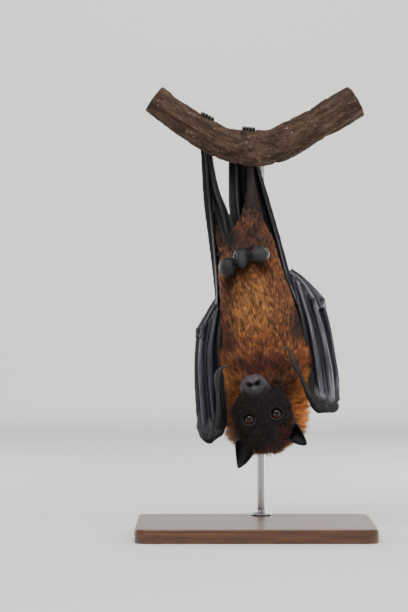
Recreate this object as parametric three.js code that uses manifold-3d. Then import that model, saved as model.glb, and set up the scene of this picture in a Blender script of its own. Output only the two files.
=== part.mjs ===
// A flying fox (a large fruit bat) at life size, hanging head down from a short cut length of branch.
// The branch is carried by a bent steel rod on a flat wooden base.
// Units are millimetres, +Z is up. The belly faces -Y, and the bat's own right side is at +X.
// The origin is the middle of the base's underside.

import * as THREE from "three";
import { mergeVertices } from "three/addons/utils/BufferGeometryUtils.js";
import Module from "manifold-3d";

const wasm = await Module();
wasm.setup();

// ---- Driving dimensions -------------------------------------------------------------------------

const GAP = 0.3; // left between neighbouring solids
const BASE = { width: 244, depth: 164, thickness: 14, corner: 12, bevel: 1.5 };
const ROD = { radius: 4, x: 8, y: 66, height: 399, bend: 20, end: 4 };
const HEAD_TILT = { roll: 12, pitch: 25 }; // degrees: sideways lean, and muzzle towards the front
const HEAD_AT = [6.5, -20, 127.7]; // between the eyes, on the muzzle's axis
const EYE = { radius: 6.2, apart: 29, height: 9.4 };
const EAR = { width: 21, thickness: 1.3 };
const SKIN = 1.1; // thickness of the wing membranes
const CLAW = { thumb: 2.1, toe: 1.5 };

const FRONT = new THREE.Vector3(0, -1, 0);
const RIGHT = new THREE.Vector3(1, 0, 0);

// ---- Materials ----------------------------------------------------------------------------------

const finish = (color, roughness, metalness = 0) =>
  new THREE.MeshStandardMaterial({ color, roughness, metalness });
const belly = finish(0x8a4f22, 0.9);
const mantle = finish(0x8f4a16, 0.9);
const faceFur = finish(0x221815, 0.85);
const thighFur = finish(0x4a2c1c, 0.9);
const wingSkin = finish(0x1c1c20, 0.45);
const bareSkin = finish(0x3b3b3e, 0.5);
const earSkin = finish(0x17161a, 0.6);
const eyeball = finish(0x2a130a, 0.08);
const horn = finish(0x121113, 0.3);
const bark = finish(0x4a382b, 0.95);
const oak = finish(0x5b3d26, 0.5);
const steel = finish(0xb4b6b8, 0.3, 1);

// ---- Shape tools --------------------------------------------------------------------------------

const point = ([x, y, z]) => new THREE.Vector3(x, y, z);

/** Signed volume of an indexed geometry: negative where its faces point inwards. */
function volume(geometry) {
  const places = geometry.getAttribute("position");
  const [a, b, c] = [0, 1, 2].map(() => new THREE.Vector3());
  let sum = 0;
  for (let i = 0; i < geometry.index.count; i += 3) {
    [a, b, c].forEach((p, k) => p.fromBufferAttribute(places, geometry.index.getX(i + k)));
    sum += a.dot(b.cross(c)) / 6;
  }
  return sum;
}

/** An indexed geometry of these corners and faces, turned so that its faces point outwards. */
function closed(corners, faces) {
  const geometry = new THREE.BufferGeometry().setFromPoints(corners).setIndex(faces);
  return volume(geometry) < 0
    ? geometry.setIndex([...faces].reverse())
    : geometry;
}

/** A closed body through rings of equal length, with a fan of faces over each end. */
function loft(rings) {
  const sides = rings[0].length;
  const corners = rings.flat();
  const addMiddle = (ring) => {
    const sum = ring.reduce((total, p) => total.add(p), new THREE.Vector3());
    return corners.push(sum.divideScalar(sides)) - 1;
  };
  const firstMiddle = addMiddle(rings[0]);
  const lastMiddle = addMiddle(rings.at(-1));
  const lastRing = (rings.length - 1) * sides;
  const faces = [];
  for (let s = 0; s < sides; s++) {
    const next = (s + 1) % sides;
    for (let r = 0; r < lastRing; r += sides)
      faces.push(r + s, r + next, r + next + sides, r + s, r + next + sides, r + s + sides);
    faces.push(firstMiddle, next, s, lastMiddle, lastRing + s, lastRing + next);
  }
  return closed(corners, faces);
}

/** A closed sheet between two grids of points, each given as rows of equal length. */
function sheet(front, back) {
  const rows = front.length;
  const columns = front[0].length;
  const corners = [...front.flat(), ...back.flat()];
  const behind = rows * columns;
  const faces = [];
  const quad = (a, b, c, d) => faces.push(a, b, c, a, c, d);
  for (let r = 0; r + 1 < rows; r++)
    for (let c = 0; c + 1 < columns; c++) {
      const i = r * columns + c;
      quad(i, i + 1, i + 1 + columns, i + columns);
      quad(behind + i, behind + i + columns, behind + i + 1 + columns, behind + i + 1);
    }
  const edge = (i, j) => quad(j, i, behind + i, behind + j);
  for (let c = 0; c + 1 < columns; c++) {
    edge(c, c + 1);
    edge((rows - 1) * columns + c + 1, (rows - 1) * columns + c);
  }
  for (let r = 0; r + 1 < rows; r++) {
    edge((r + 1) * columns, r * columns);
    edge(r * columns + columns - 1, (r + 1) * columns + columns - 1);
  }
  return closed(corners, faces);
}

/**
 * An oval ring: half its width sideways, and its own reach to the front and to the back.
 * A peak over 1 makes the front narrower, like a ridge.
 */
function oval(centre, side, fore, [halfWidth, front, back], sides, peak = 1) {
  return Array.from({ length: sides }, (_, i) => {
    const turn = (2 * Math.PI * i) / sides;
    const rise = Math.sin(turn);
    return centre
      .clone()
      .addScaledVector(side, halfWidth * Math.cos(turn))
      .addScaledVector(fore, rise > 0 ? front * rise ** peak : back * rise);
  });
}

/** Level oval rings through rows of [x, y, z, half width, front, back], smoothly joined. */
function stack(rows, count, sides, peak) {
  const centres = new THREE.CatmullRomCurve3(rows.map(point));
  const sizes = new THREE.CatmullRomCurve3(rows.map((row) => point(row.slice(3))));
  return Array.from({ length: count + 1 }, (_, i) =>
    oval(centres.getPoint(i / count), RIGHT, FRONT, sizes.getPoint(i / count).toArray(), sides, peak),
  );
}

/** A rounded limb along rows of [x, y, z, half width, half depth]; fore says where its front faces. */
function limb(rows, count, sides, fore = FRONT) {
  const path = new THREE.CatmullRomCurve3(rows.map(point));
  const sizes = new THREE.CatmullRomCurve3(rows.map(([, , , a, b = a]) => point([a, b, b])));
  const rings = Array.from({ length: count + 1 }, (_, i) => {
    const along = path.getTangent(i / count);
    const side = along.clone().cross(fore).normalize();
    const front = side.clone().cross(along).normalize();
    return oval(path.getPoint(i / count), side, front, sizes.getPoint(i / count).toArray(), sides);
  });
  return loft(rings);
}

/** An ellipsoid with its middle at a point. */
function egg(at, [x, y, z], across = 12, down = 8) {
  return new THREE.SphereGeometry(1, across, down).scale(x, y, z).translate(...at);
}

/**
 * A pleated membrane over a row of ridges, such as the fingers of a folded wing.
 * Each ridge is { path: rows of [x, y, z], bone: [radius at the start, radius at the end], fold },
 * where fold is how far the pleat after it sinks towards +Y.
 */
function membrane(ridges, levels, perPleat) {
  const paths = ridges.map((ridge) => new THREE.CatmullRomCurve3(ridge.path.map(point)));
  const columns = (ridges.length - 1) * perPleat;
  const middle = [];
  const halves = [];
  for (let r = 0; r <= levels; r++) {
    const on = paths.map((path) => path.getPoint(r / levels));
    middle.push([]);
    halves.push([]);
    for (let c = 0; c <= columns; c++) {
      const pleat = Math.min(Math.floor(c / perPleat), ridges.length - 2);
      const share = c / perPleat - pleat;
      const sink = ridges[pleat].fold * Math.sin(Math.PI * share) ** 2;
      const place = on[pleat].clone().lerp(on[pleat + 1], share).addScaledVector(FRONT, -sink);
      const near = share < 0.5 ? ridges[pleat] : ridges[pleat + 1];
      const bone = THREE.MathUtils.lerp(...near.bone, r / levels);
      const away = Math.min(share, 1 - share) * on[pleat].distanceTo(on[pleat + 1]);
      middle[r].push(place);
      halves[r].push(SKIN / 2 + Math.max(0, bone - SKIN / 2) * Math.exp(-((away / (bone + 0.5)) ** 2)));
    }
  }
  return thicken(middle, halves);
}

/** A closed sheet of a given half thickness on each side of a grid of points. */
function thicken(middle, halves) {
  const rows = middle.length - 1;
  const columns = middle[0].length - 1;
  const normal = (r, c) => {
    const along = middle[Math.min(r + 1, rows)][c].clone().sub(middle[Math.max(r - 1, 0)][c]);
    const across = middle[r][Math.min(c + 1, columns)].clone().sub(middle[r][Math.max(c - 1, 0)]);
    return along.cross(across).normalize();
  };
  const face = (way) =>
    middle.map((row, r) =>
      row.map((p, c) => p.clone().addScaledVector(normal(r, c), way * halves[r][c])),
    );
  return sheet(face(1), face(-1));
}

// ---- Joining and parting ------------------------------------------------------------------------

/** A geometry as a solid whose shared corners are merged. */
function toSolid(geometry) {
  const bare = new THREE.BufferGeometry().setAttribute("position", geometry.getAttribute("position").clone());
  if (geometry.index) bare.setIndex(geometry.index.clone());
  const merged = mergeVertices(bare, 1e-3);
  return new wasm.Manifold(
    new wasm.Mesh({
      numProp: 3,
      vertProperties: new Float32Array(merged.getAttribute("position").array),
      triVerts: new Uint32Array(merged.index.array),
    }),
  );
}

/** A solid as a geometry. */
function toGeometry(solid) {
  const { vertProperties, triVerts } = solid.getMesh();
  return new THREE.BufferGeometry()
    .setAttribute("position", new THREE.BufferAttribute(new Float32Array(vertProperties), 3))
    .setIndex(new THREE.BufferAttribute(new Uint32Array(triVerts), 1));
}

/** Several geometries as one body, which remembers what it was joined from. */
function join(geometries) {
  const joined = toGeometry(geometries.map(toSolid).reduce((a, b) => a.add(b)));
  joined.userData.parts = geometries;
  return joined;
}

/** A geometry less some others. */
function cut(geometry, ...tools) {
  const rest = toGeometry(tools.reduce((left, tool) => left.subtract(toSolid(tool)), toSolid(geometry)));
  rest.userData.parts = geometry.userData.parts;
  return rest;
}

/** A solid with the surface of a geometry, or of each part it was joined from, moved out by the gap. */
function swell(geometry) {
  if (geometry.userData.parts)
    return geometry.userData.parts.map(swell).reduce((a, b) => a.add(b));
  const bare = new THREE.BufferGeometry().setAttribute("position", geometry.getAttribute("position").clone());
  if (geometry.index) bare.setIndex(geometry.index.clone());
  const merged = mergeVertices(bare, 1e-3);
  merged.computeVertexNormals();
  const places = merged.getAttribute("position");
  const normals = merged.getAttribute("normal");
  const [p, n] = [new THREE.Vector3(), new THREE.Vector3()];
  for (let i = 0; i < places.count; i++) {
    p.fromBufferAttribute(places, i).addScaledVector(n.fromBufferAttribute(normals, i), GAP);
    places.setXYZ(i, p.x, p.y, p.z);
  }
  return toSolid(merged);
}

const bat = new THREE.Group();
const stand = new THREE.Group();
const settled = []; // what is already in place, swollen by the gap

/** Adds a named mesh, cut back from all that is already in place, with its middle as its position. */
function settle(group, name, geometry, material) {
  geometry.computeBoundingBox();
  const box = geometry.boundingBox.clone();
  let solid = toSolid(geometry);
  for (const other of settled)
    if (other.box.intersectsBox(box)) solid = solid.subtract(other.solid);
  const largest = solid.decompose().reduce((a, b) => (b.volume() > a.volume() ? b : a));
  settled.push({ box: box.expandByScalar(GAP), solid: swell(geometry).add(toSolid(geometry)) });
  const made = toGeometry(largest);
  made.computeBoundingBox();
  const middle = made.boundingBox.getCenter(new THREE.Vector3());
  const mesh = new THREE.Mesh(made.translate(...middle.clone().negate().toArray()), material);
  mesh.name = name;
  mesh.position.copy(middle);
  group.add(mesh);
}

// ---- The display stand and the perch --------------------------------------------------------------

// rows of [x, y, z, radius] along the middle of the branch
const PERCH_ROWS = [
  [-104, 4, 448.5, 14.6],
  [-71, 2, 425, 14.8],
  [-42, 0, 408.3, 15.8],
  [-20.6, 0, 399.8, 17],
  [-2, 0, 397.6, 17.6],
  [21, 1, 401, 17],
  [50.5, 4, 416.6, 16.6],
  [76, 6, 431, 17],
  [104, 8, 447.5, 17.4],
];
const KNOTS = [
  { at: 0.24, turn: 2.2, height: 4 },
  { at: 0.8, turn: 4.6, height: 4 },
];

/** A length of branch with a wavering thickness and two low knots. */
function perch() {
  const path = new THREE.CatmullRomCurve3(PERCH_ROWS.map(point));
  const radii = new THREE.CatmullRomCurve3(PERCH_ROWS.map((row) => point([row[3], 0, 0])));
  const [count, sides] = [13, 14];
  const rings = Array.from({ length: count + 1 }, (_, i) => {
    const t = i / count;
    const along = path.getTangent(t);
    const side = along.clone().cross(FRONT).normalize();
    const front = side.clone().cross(along).normalize();
    return Array.from({ length: sides }, (_, s) => {
      const turn = (2 * Math.PI * s) / sides;
      const waver = 0.7 * Math.sin(3 * turn + 9 * t) + 0.5 * Math.sin(5 * turn - 17 * t);
      const swelling = KNOTS.reduce((sum, knot) => {
        const off = Math.hypot((t - knot.at) / 0.06, Math.sin((turn - knot.turn) / 2) / 0.28);
        return sum + knot.height * Math.exp(-(off ** 2));
      }, 0);
      const radius = radii.getPoint(t).x + waver + swelling;
      return path
        .getPoint(t)
        .addScaledVector(side, radius * Math.cos(turn))
        .addScaledVector(front, radius * Math.sin(turn));
    });
  });
  return loft(rings);
}

/** A flat base with round corners and a small bevel. */
function base() {
  const { width, depth, thickness, corner, bevel } = BASE;
  const [x, y] = [width / 2 - bevel, depth / 2 - bevel];
  const outline = new THREE.Shape()
    .moveTo(-x + corner, -y)
    .lineTo(x - corner, -y)
    .absarc(x - corner, -y + corner, corner, -Math.PI / 2, 0)
    .absarc(x - corner, y - corner, corner, 0, Math.PI / 2)
    .absarc(-x + corner, y - corner, corner, Math.PI / 2, Math.PI)
    .absarc(-x + corner, -y + corner, corner, Math.PI, 1.5 * Math.PI);
  return new THREE.ExtrudeGeometry(outline, {
    depth: thickness - 2 * bevel,
    bevelThickness: bevel,
    bevelSize: bevel,
    bevelSegments: 1,
    curveSegments: 3,
  }).translate(0, 0, bevel);
}

/** A rod that rises from the base and bends forward into the back of the perch. */
function rod() {
  const steps = 6;
  const start = ROD.height - ROD.bend;
  const bend = Array.from({ length: steps + 1 }, (_, i) => {
    const turn = (Math.PI / 2) * (i / steps);
    return [ROD.x, ROD.y - ROD.bend * (1 - Math.cos(turn)), start + ROD.bend * Math.sin(turn)];
  });
  const line = [[ROD.x, ROD.y, BASE.thickness + GAP], ...bend, [ROD.x, ROD.end, ROD.height]];
  const size = [ROD.radius, ROD.radius, ROD.radius];
  const rings = line.map((at, i) => {
    const turn = (Math.PI / 2) * THREE.MathUtils.clamp((i - 1) / steps, 0, 1);
    return oval(point(at), RIGHT, new THREE.Vector3(0, Math.cos(turn), Math.sin(turn)), size, 10);
  });
  return loft(rings);
}

settle(stand, "stand_base", base(), oak);
settle(stand, "stand_rod", rod(), steel);
settle(stand, "perch", perch(), bark);

// ---- The head -------------------------------------------------------------------------------------
// Its own frame has X to the bat's right, +Z along the muzzle and -Y out of the forehead.

const headFrame = new THREE.Matrix4();
{
  const roll = THREE.MathUtils.degToRad(HEAD_TILT.roll);
  const pitch = THREE.MathUtils.degToRad(HEAD_TILT.pitch);
  const sideways = new THREE.Vector3(Math.cos(roll), 0, Math.sin(roll));
  const muzzle = new THREE.Vector3(
    -Math.sin(roll) * Math.cos(pitch),
    -Math.sin(pitch),
    Math.cos(roll) * Math.cos(pitch),
  );
  headFrame.makeBasis(sideways, muzzle.clone().cross(sideways), muzzle).setPosition(...HEAD_AT);
}

/** A geometry moved from the head's frame to its place. */
function onHead(geometry) {
  geometry.userData.parts?.forEach((part) => part.applyMatrix4(headFrame));
  return geometry.applyMatrix4(headFrame);
}

/** Rings from the crown to the nose pad, out to the tips of the fur. */
const HEAD_ROWS = [
  [0, 2, -44.5, 8, 6, 8],
  [0, 1, -41, 17, 12, 13],
  [0, 0, -33, 25, 17, 18],
  [0, 0, -22, 30.5, 19, 21],
  [0, 1, -10, 33, 18.6, 21],
  [0, 3, 0, 32.5, 18, 18.5],
  [0, 5, 8, 30, 18.6, 15],
  [0, 6, 16, 25, 18.4, 11],
  [0, 4, 24, 18, 15.6, 9.5],
  [0, 0, 31, 13.8, 11, 10.2],
  [0, -1, 37, 11.8, 9.2, 9.6],
  [0, -1, 41.4, 9.4, 7.6, 7],
  [0, -1, 44, 5.4, 4.6, 4],
];

/** The head with its two short nostril tubes, each with a shallow hole. */
function head() {
  const skull = loft(stack(HEAD_ROWS, 14, 16, 1.35));
  const tubes = [-1, 1].map((side) => egg([side * 5, -5.8, 39.6], [4.2, 4.4, 4.4], 6, 4));
  const holes = [-1, 1].map((side) => egg([side * 6.4, -9, 42], [1.9, 2.6, 2.2], 5, 3));
  return cut(join([skull, ...tubes]), ...holes);
}

/** A cupped, pointed ear from its root to its tip, in the head's frame, opening towards `facing`. */
function ear(root, tip, facing) {
  const along = point(tip).sub(point(root));
  const length = along.length();
  along.normalize();
  const open = point(facing);
  open.addScaledVector(along, -open.dot(along)).normalize();
  const across = along.clone().cross(open);
  const [rows, columns] = [6, 5];
  const middle = Array.from({ length: rows + 1 }, (_, r) => {
    const t = r / rows;
    const halfWidth = (EAR.width / 2) * Math.min(1, 0.75 + t) * (1 - t ** 1.9) ** 0.85 + 0.7;
    const wrap = THREE.MathUtils.lerp(2.5, 0.7, t ** 0.8); // radians each way at the rim
    return Array.from({ length: columns + 1 }, (_, c) => {
      const turn = wrap * (-1 + (2 * c) / columns);
      const radius = halfWidth / Math.sin(Math.min(wrap, Math.PI / 2));
      return point(root)
        .addScaledVector(along, length * t)
        .addScaledVector(across, radius * Math.sin(turn))
        .addScaledVector(open, radius * (1 - Math.cos(turn)) - 0.55 * radius);
    });
  });
  return thicken(middle, middle.map((row) => row.map(() => EAR.thickness / 2)));
}

for (const [side, sign] of [["right", 1], ["left", -1]])
  settle(
    bat,
    `eye_${side}`,
    onHead(egg([(sign * EYE.apart) / 2, -EYE.height, 0], [EYE.radius, EYE.radius, EYE.radius], 10, 7)),
    eyeball,
  );
settle(bat, "head", onHead(head()), faceFur);

// ---- The neck and the trunk -------------------------------------------------------------------------

/** Rows of [x, y, z, half width, front, back] from the nape up to the rump, out to the tips of the fur. */
const TORSO_ROWS = [
  [11.5, 3, 83.5, 9, 6, 8],
  [11.5, 6, 92, 24, 13, 18],
  [12, 10, 106, 36, 20, 27],
  [12.8, 13, 130, 39.5, 25, 33],
  [13.6, 13, 158, 43, 35, 35],
  [12, 12, 184, 44.5, 41, 35],
  [7, 11, 214, 41.5, 40, 35],
  [0.5, 11, 244, 37, 37, 34],
  [-5.4, 12, 274, 33.5, 31, 29],
  [-8.5, 14, 302, 29, 24, 22],
  [-11, 16, 321, 20, 15, 14],
  [-12, 17, 328, 9, 6, 6],
];
const SHOULDER_RING = 8; // the ring where the neck meets the trunk

function torso() {
  const rings = stack(TORSO_ROWS, 19, 18);
  const neckEnd = rings[SHOULDER_RING].map((p) => p.clone().setZ(p.z - GAP));
  return {
    neck: loft([...rings.slice(0, SHOULDER_RING), neckEnd]),
    trunk: loft(rings.slice(SHOULDER_RING)),
  };
}

/** The bare scrotum: two lobes with the sheath between them. */
function scrotum() {
  const lobes = [
    egg([-28.5, -20, 275], [9, 9, 10.8], 8, 6),
    egg([4.1, -20, 288.4], [10.6, 9, 8.4], 8, 6),
  ];
  const bridge = limb([[-26, -18, 279, 6, 6], [-14, -19, 284, 8, 7], [0, -18, 287, 6, 6]], 3, 6);
  const sheath = limb(
    [[-15, -16, 294, 6, 5], [-14.3, -24, 289, 7, 6.4], [-13.9, -28.4, 281, 5, 4.8], [-13.8, -29.6, 274.6, 2, 2]],
    4,
    7,
  );
  return join([...lobes, bridge, sheath]);
}

const { neck, trunk } = torso();
settle(bat, "trunk", trunk, belly);
settle(bat, "neck", neck, mantle);
settle(bat, "scrotum", scrotum(), bareSkin);
settle(bat, "ear_right", onHead(ear([20, 2, -27], [36.9, -19, -38.5], [0.2, -0.75, 0.7])), earSkin);
settle(bat, "ear_left", onHead(ear([-17, 0, -27], [-35.6, -4, -54], [-0.25, -0.8, 0.5])), earSkin);

// ---- The wings ----------------------------------------------------------------------------------------
// Each wing hangs folded: the forearm runs down from the elbow to the wrist, the long hand bones run back
// up in front of it, and the finger ends fold over behind.

const WINGS = {
  right: {
    shoulder: [50, 14, 176],
    elbow: [40, 46, 268],
    wrist: [72.5, -3, 138.5],
    wristSize: [16, 8],
    // hand bones from the wrist up to the knuckles, inner edge first
    hand: [
      { path: [[61.5, 3, 145], [59.4, 1, 168], [55, 2, 192], [48, 5, 226], [41, 10, 258]], bone: [1.8, 1], fold: 7 },
      { path: [[70, -9, 145], [66, -10, 168], [61.5, -9, 190], [54.5, -6, 222], [45, 0, 252]], bone: [2.8, 1.8], fold: 6 },
      { path: [[80, -11, 144], [77.5, -14, 168], [73.5, -13, 190], [68.5, -10, 213], [61, -5, 238.5]], bone: [3.4, 3], fold: 13 },
      { path: [[85.3, -2, 142], [84.4, 0, 160], [80.5, 3, 184], [76.5, 6, 211], [69.8, 10, 241]], bone: [3.2, 3.2], fold: 0 },
    ],
    // finger ends from the knuckles up to the bat's hip, then down behind the forearm
    fingers: [
      { path: [[61, -3, 240], [52, 9, 257], [42, 24, 270], [35, 38, 276]], bone: [3, 1.8], fold: 5 },
      { path: [[70, 12, 243], [60, 24, 256.5], [48, 36, 270], [38, 49, 280]], bone: [3.2, 1.8], fold: 0 },
    ],
    tips: [
      { path: [[37, 53, 276], [48, 51, 245], [57, 40, 205], [62, 27, 170]], bone: [1.8, 1], fold: 3 },
      { path: [[45, 47, 274], [57, 42, 245], [67, 31, 208], [71, 20, 178]], bone: [1.8, 1], fold: 0 },
    ],
    thumb: [[60, -8, 140, 5, 4.4], [54, -14, 147, 4.2, 4], [44.5, -23, 164, 2.7, 2.8], [36.8, -29.5, 177.5, 3, 3]],
    claw: [[36.4, -30.2, 179], [33.6, -32.5, 187], [29.8, -32.6, 193], [26.4, -29.4, 197.5]],
  },
  left: {
    shoulder: [-24, 14, 166],
    elbow: [-36, 45, 242],
    wrist: [-43.5, -2, 107.5],
    wristSize: [14, 8],
    hand: [
      { path: [[-35, 4, 114], [-37, 2, 140], [-39, 3, 168], [-39, 6, 202], [-37, 12, 230]], bone: [1.8, 1], fold: 7 },
      { path: [[-42, -8, 113], [-46, -9, 140], [-47.5, -8, 168], [-47, -5, 194], [-44, 0, 220]], bone: [2.8, 1.8], fold: 6 },
      { path: [[-50, -10, 112], [-54, -11, 138], [-56, -10, 163], [-56.2, -7, 186], [-54.6, -3, 210]], bone: [3.2, 2.8], fold: 9 },
      { path: [[-54.5, 0, 112], [-58.4, 1, 138], [-59.6, 4, 163], [-59.8, 7, 186], [-58.6, 10, 210]], bone: [3, 3], fold: 0 },
    ],
    fingers: [
      { path: [[-54, -1, 211], [-47.4, 9, 223], [-39.6, 22, 237], [-32, 36, 248]], bone: [2.8, 1.8], fold: 5 },
      { path: [[-58, 12, 211.5], [-51, 24, 225], [-43, 36, 239.5], [-35, 50, 252]], bone: [3, 1.8], fold: 0 },
    ],
    tips: [
      { path: [[-31, 54, 246], [-40, 50, 216], [-46, 38, 182], [-47, 24, 148]], bone: [1.8, 1], fold: 3 },
      { path: [[-40, 48, 245], [-49, 42, 216], [-54, 31, 184], [-54, 19, 154]], bone: [1.8, 1], fold: 0 },
    ],
    thumb: [[-38, -7, 109, 4.8, 4.2], [-36.5, -12, 117, 4, 3.8], [-36.5, -19, 139, 2.8, 2.8], [-38, -23, 161, 3.4, 3.2]],
    claw: [[-37.8, -23.8, 162.6], [-36, -26, 169], [-32.4, -26, 173], [-28.5, -23, 174.5]],
  },
};

/** A claw that tapers to a point along rows of [x, y, z]. */
function claw(line, radius, count = 5, sides = 6) {
  const last = line.length - 1;
  return limb(
    line.map((at, i) => [...at, radius * (1 - 0.86 * (i / last)), radius * (1.15 - 0.98 * (i / last))]),
    count,
    sides,
  );
}

const mixed = (from, to, share) => from.map((value, i) => value + (to[i] - value) * share);

for (const [side, wing] of Object.entries(WINGS)) {
  settle(bat, `thumb_claw_${side}`, claw(wing.claw, CLAW.thumb, 5, 5), horn);
  settle(bat, `thumb_${side}`, limb(wing.thumb, 6, 7), wingSkin);
  const [x, y, z] = wing.wrist;
  const [halfWidth, halfDepth] = wing.wristSize;
  const wrist = limb(
    [
      [x + 0.04 * x, y, z - 13.5, halfWidth * 0.3, halfDepth * 0.5],
      [x + 0.02 * x, y - 1, z - 8, halfWidth * 0.78, halfDepth * 0.95],
      [x, y - 1, z, halfWidth, halfDepth],
      [x, y - 1, z + 7, halfWidth * 0.94, halfDepth * 0.85],
    ],
    4,
    9,
  );
  settle(bat, `wrist_${side}`, wrist, wingSkin);
  settle(bat, `hand_${side}`, membrane(wing.hand, 6, 3), wingSkin);
  const forearm = limb(
    [
      [...mixed(wing.wrist, wing.elbow, 0.05), 4.6, 4.6],
      [...mixed(wing.wrist, wing.elbow, 0.3), 4.2, 4.4],
      [...mixed(wing.wrist, wing.elbow, 0.7), 5.4, 6.2],
      [...mixed(wing.wrist, wing.elbow, 0.93), 6, 6.6],
      [...mixed(wing.wrist, wing.elbow, 1.02), 4.4, 4.6],
    ],
    6,
    8,
  );
  settle(bat, `forearm_${side}`, forearm, wingSkin);
  settle(bat, `fingers_${side}`, membrane(wing.fingers, 4, 3), wingSkin);
  settle(bat, `wing_tip_${side}`, membrane(wing.tips, 4, 3), wingSkin);
  const upperArm = limb(
    [
      [...mixed(wing.shoulder, wing.elbow, 0.06), 10, 11],
      [...mixed(wing.shoulder, wing.elbow, 0.25), 12, 13],
      [...mixed(wing.shoulder, wing.elbow, 0.6), 9.5, 10],
      [...mixed(wing.shoulder, wing.elbow, 0.92), 7, 7.5],
    ],
    4,
    8,
  );
  settle(bat, `upper_arm_${side}`, upperArm, thighFur);
}

// ---- The legs and feet ------------------------------------------------------------------------------

const LEGS = {
  right: {
    leg: [[-2, 12, 292, 15, 14], [1, 26, 312, 13, 13], [1, 36, 332, 9, 9], [-2, 32, 355, 5.4, 5.4], [-5, 27, 380, 4.4, 4.4], [-6.4, 26, 394, 4.4, 4.2]],
    foot: -6.4,
    perch: 398,
    grip: 17.2,
  },
  left: {
    leg: [[-24, 14, 290, 13, 13], [-32, 27, 312, 11, 11.5], [-39, 36, 334, 8, 8], [-43, 32, 360, 5.2, 5.2], [-47.4, 27, 388, 4.4, 4.4], [-48.7, 25.5, 404, 4.4, 4.2]],
    foot: -48.7,
    perch: 412.4,
    grip: 15.6,
  },
};
const TOES = 5;

for (const [side, { leg, foot: x, perch: height, grip }] of Object.entries(LEGS)) {
  const slope = side === "left" ? -0.52 : -0.1; // of the branch under this foot
  /** Rows of [x, y, z] over the branch, from one angle to another: 0 degrees is its back, 90 its top. */
  const round = (degrees, lift, spread = 0) => {
    const turn = THREE.MathUtils.degToRad(degrees);
    const radius = grip + lift;
    return [x + spread, radius * Math.cos(turn), height + radius * Math.sin(turn) + slope * spread];
  };
  const toeLine = (toe, from, to, lift) =>
    Array.from({ length: 4 }, (_, i) => {
      const degrees = from + ((to - from) * i) / 3;
      const spread = (toe - (TOES - 1) / 2) * THREE.MathUtils.lerp(1.6, 3.4, degrees / 130);
      return round(degrees, lift, spread);
    });
  const toes = [];
  for (let toe = 0; toe < TOES; toe++) {
    toes.push(limb(toeLine(toe, 34, 84, 4.4).map((at, i) => [...at, 2.1 - 0.15 * i]), 3, 5, RIGHT));
    const line = toeLine(toe, 85, 122, 4.1).map(([a, b, c], i) => [a, b, c - 0.35 * i ** 2]);
    settle(bat, `toe_claw_${side}_${toe + 1}`, claw(line, CLAW.toe, 3, 4), horn);
  }
  const sole = limb(
    [
      [...round(-20, 9.6), 4.4, 4.2],
      [...round(4, 7.6), 5.6, 3.8],
      [...round(27, 6.4), 6.4, 3.2],
      [...round(44, 5.6), 5.6, 2.4],
    ],
    3,
    8,
  );
  settle(bat, `foot_${side}`, join([sole, ...toes]), wingSkin);
  settle(bat, `leg_${side}`, limb(leg, 6, 7), thighFur);
}

// ---- The body's own membranes --------------------------------------------------------------------------

/** From the foot down the outside of the leg and the flank to the wing. */
const FLANKS = {
  right: [
    { path: [[-4, 24, 390], [5, 25, 345], [20.5, 25, 305], [31, 21, 265], [43, 15, 232], [51, 11, 205]], bone: [1, 0.8], fold: 3 },
    { path: [[0, 17, 389], [11.6, 19, 345], [23, 19, 305], [32.5, 16, 268], [44.5, 9, 235], [52.5, 6, 205]], bone: [1.2, 0.9], fold: 4 },
    { path: [[2, 20, 388], [15.8, 23, 345], [26.6, 25, 307], [35, 25, 275], [46, 20, 236], [55, 14, 208]], bone: [1.6, 1.2], fold: 0 },
  ],
  left: [
    { path: [[-46, 23, 400], [-39.5, 23, 345], [-38, 24, 303], [-39.2, 25, 262], [-41.5, 22, 225], [-41.5, 16, 190]], bone: [1, 0.8], fold: 3 },
    { path: [[-50, 16, 400], [-45.4, 17, 345], [-42, 17, 303], [-40, 17, 262], [-41.8, 14, 225], [-42, 9, 190]], bone: [1.2, 0.9], fold: 4 },
    { path: [[-53.8, 20, 400], [-51, 22, 345], [-46.4, 24, 305], [-43, 26, 265], [-44.5, 22, 225], [-45, 14, 190]], bone: [1.6, 1.2], fold: 0 },
  ],
};

/** The two halves of the tail membrane, from each heel down to the rump. */
const TAIL_SKINS = {
  right: [
    { path: [[-26.6, 17, 391], [-26.8, 13, 362], [-26, 10, 336], [-18, 4, 312]], bone: [1.3, 0.9], fold: 4 },
    { path: [[-19, 16, 393], [-18.6, 12, 362], [-17, 8, 336], [-12, 2, 310]], bone: [1.2, 0.9], fold: 4 },
    { path: [[-11, 22, 394], [-9, 22, 362], [-6, 20, 336], [-4, 8, 312]], bone: [1.2, 0.9], fold: 0 },
  ],
  left: [
    { path: [[-45, 18, 400], [-42.6, 16, 380], [-37, 13, 355], [-29, 10, 334], [-20, 5, 312]], bone: [1.3, 0.9], fold: 4 },
    { path: [[-47.4, 16, 400], [-45.4, 15, 380], [-41, 12, 355], [-34, 10, 334], [-26, 4, 310]], bone: [1.2, 0.9], fold: 3 },
    { path: [[-49, 21, 400], [-47.8, 23, 380], [-45, 24, 355], [-41, 20, 334], [-34, 10, 312]], bone: [1.2, 0.9], fold: 0 },
  ],
};

for (const side of ["right", "left"]) {
  settle(bat, `flank_membrane_${side}`, membrane(FLANKS[side], 8, 2), wingSkin);
  settle(bat, `tail_membrane_${side}`, membrane(TAIL_SKINS[side], 5, 2), wingSkin);
}

const model = new THREE.Group();
model.add(stand, bat);
export default model;
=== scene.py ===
"""A flying fox hanging head down from a cut branch, on a flat base with one bent rod.

Sizes are in millimetres here and turn into metres when a mesh is made. +Z is up, the belly faces -Y
and the bat's own right side is at +X.
"""

import logging
import math
from dataclasses import dataclass, field, replace
from enum import Enum, IntEnum

import bpy
import numpy as np
from bpy.types import Material, Mesh, Node, NodeSocket, Object
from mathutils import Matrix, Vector
from mathutils.kdtree import KDTree


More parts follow.
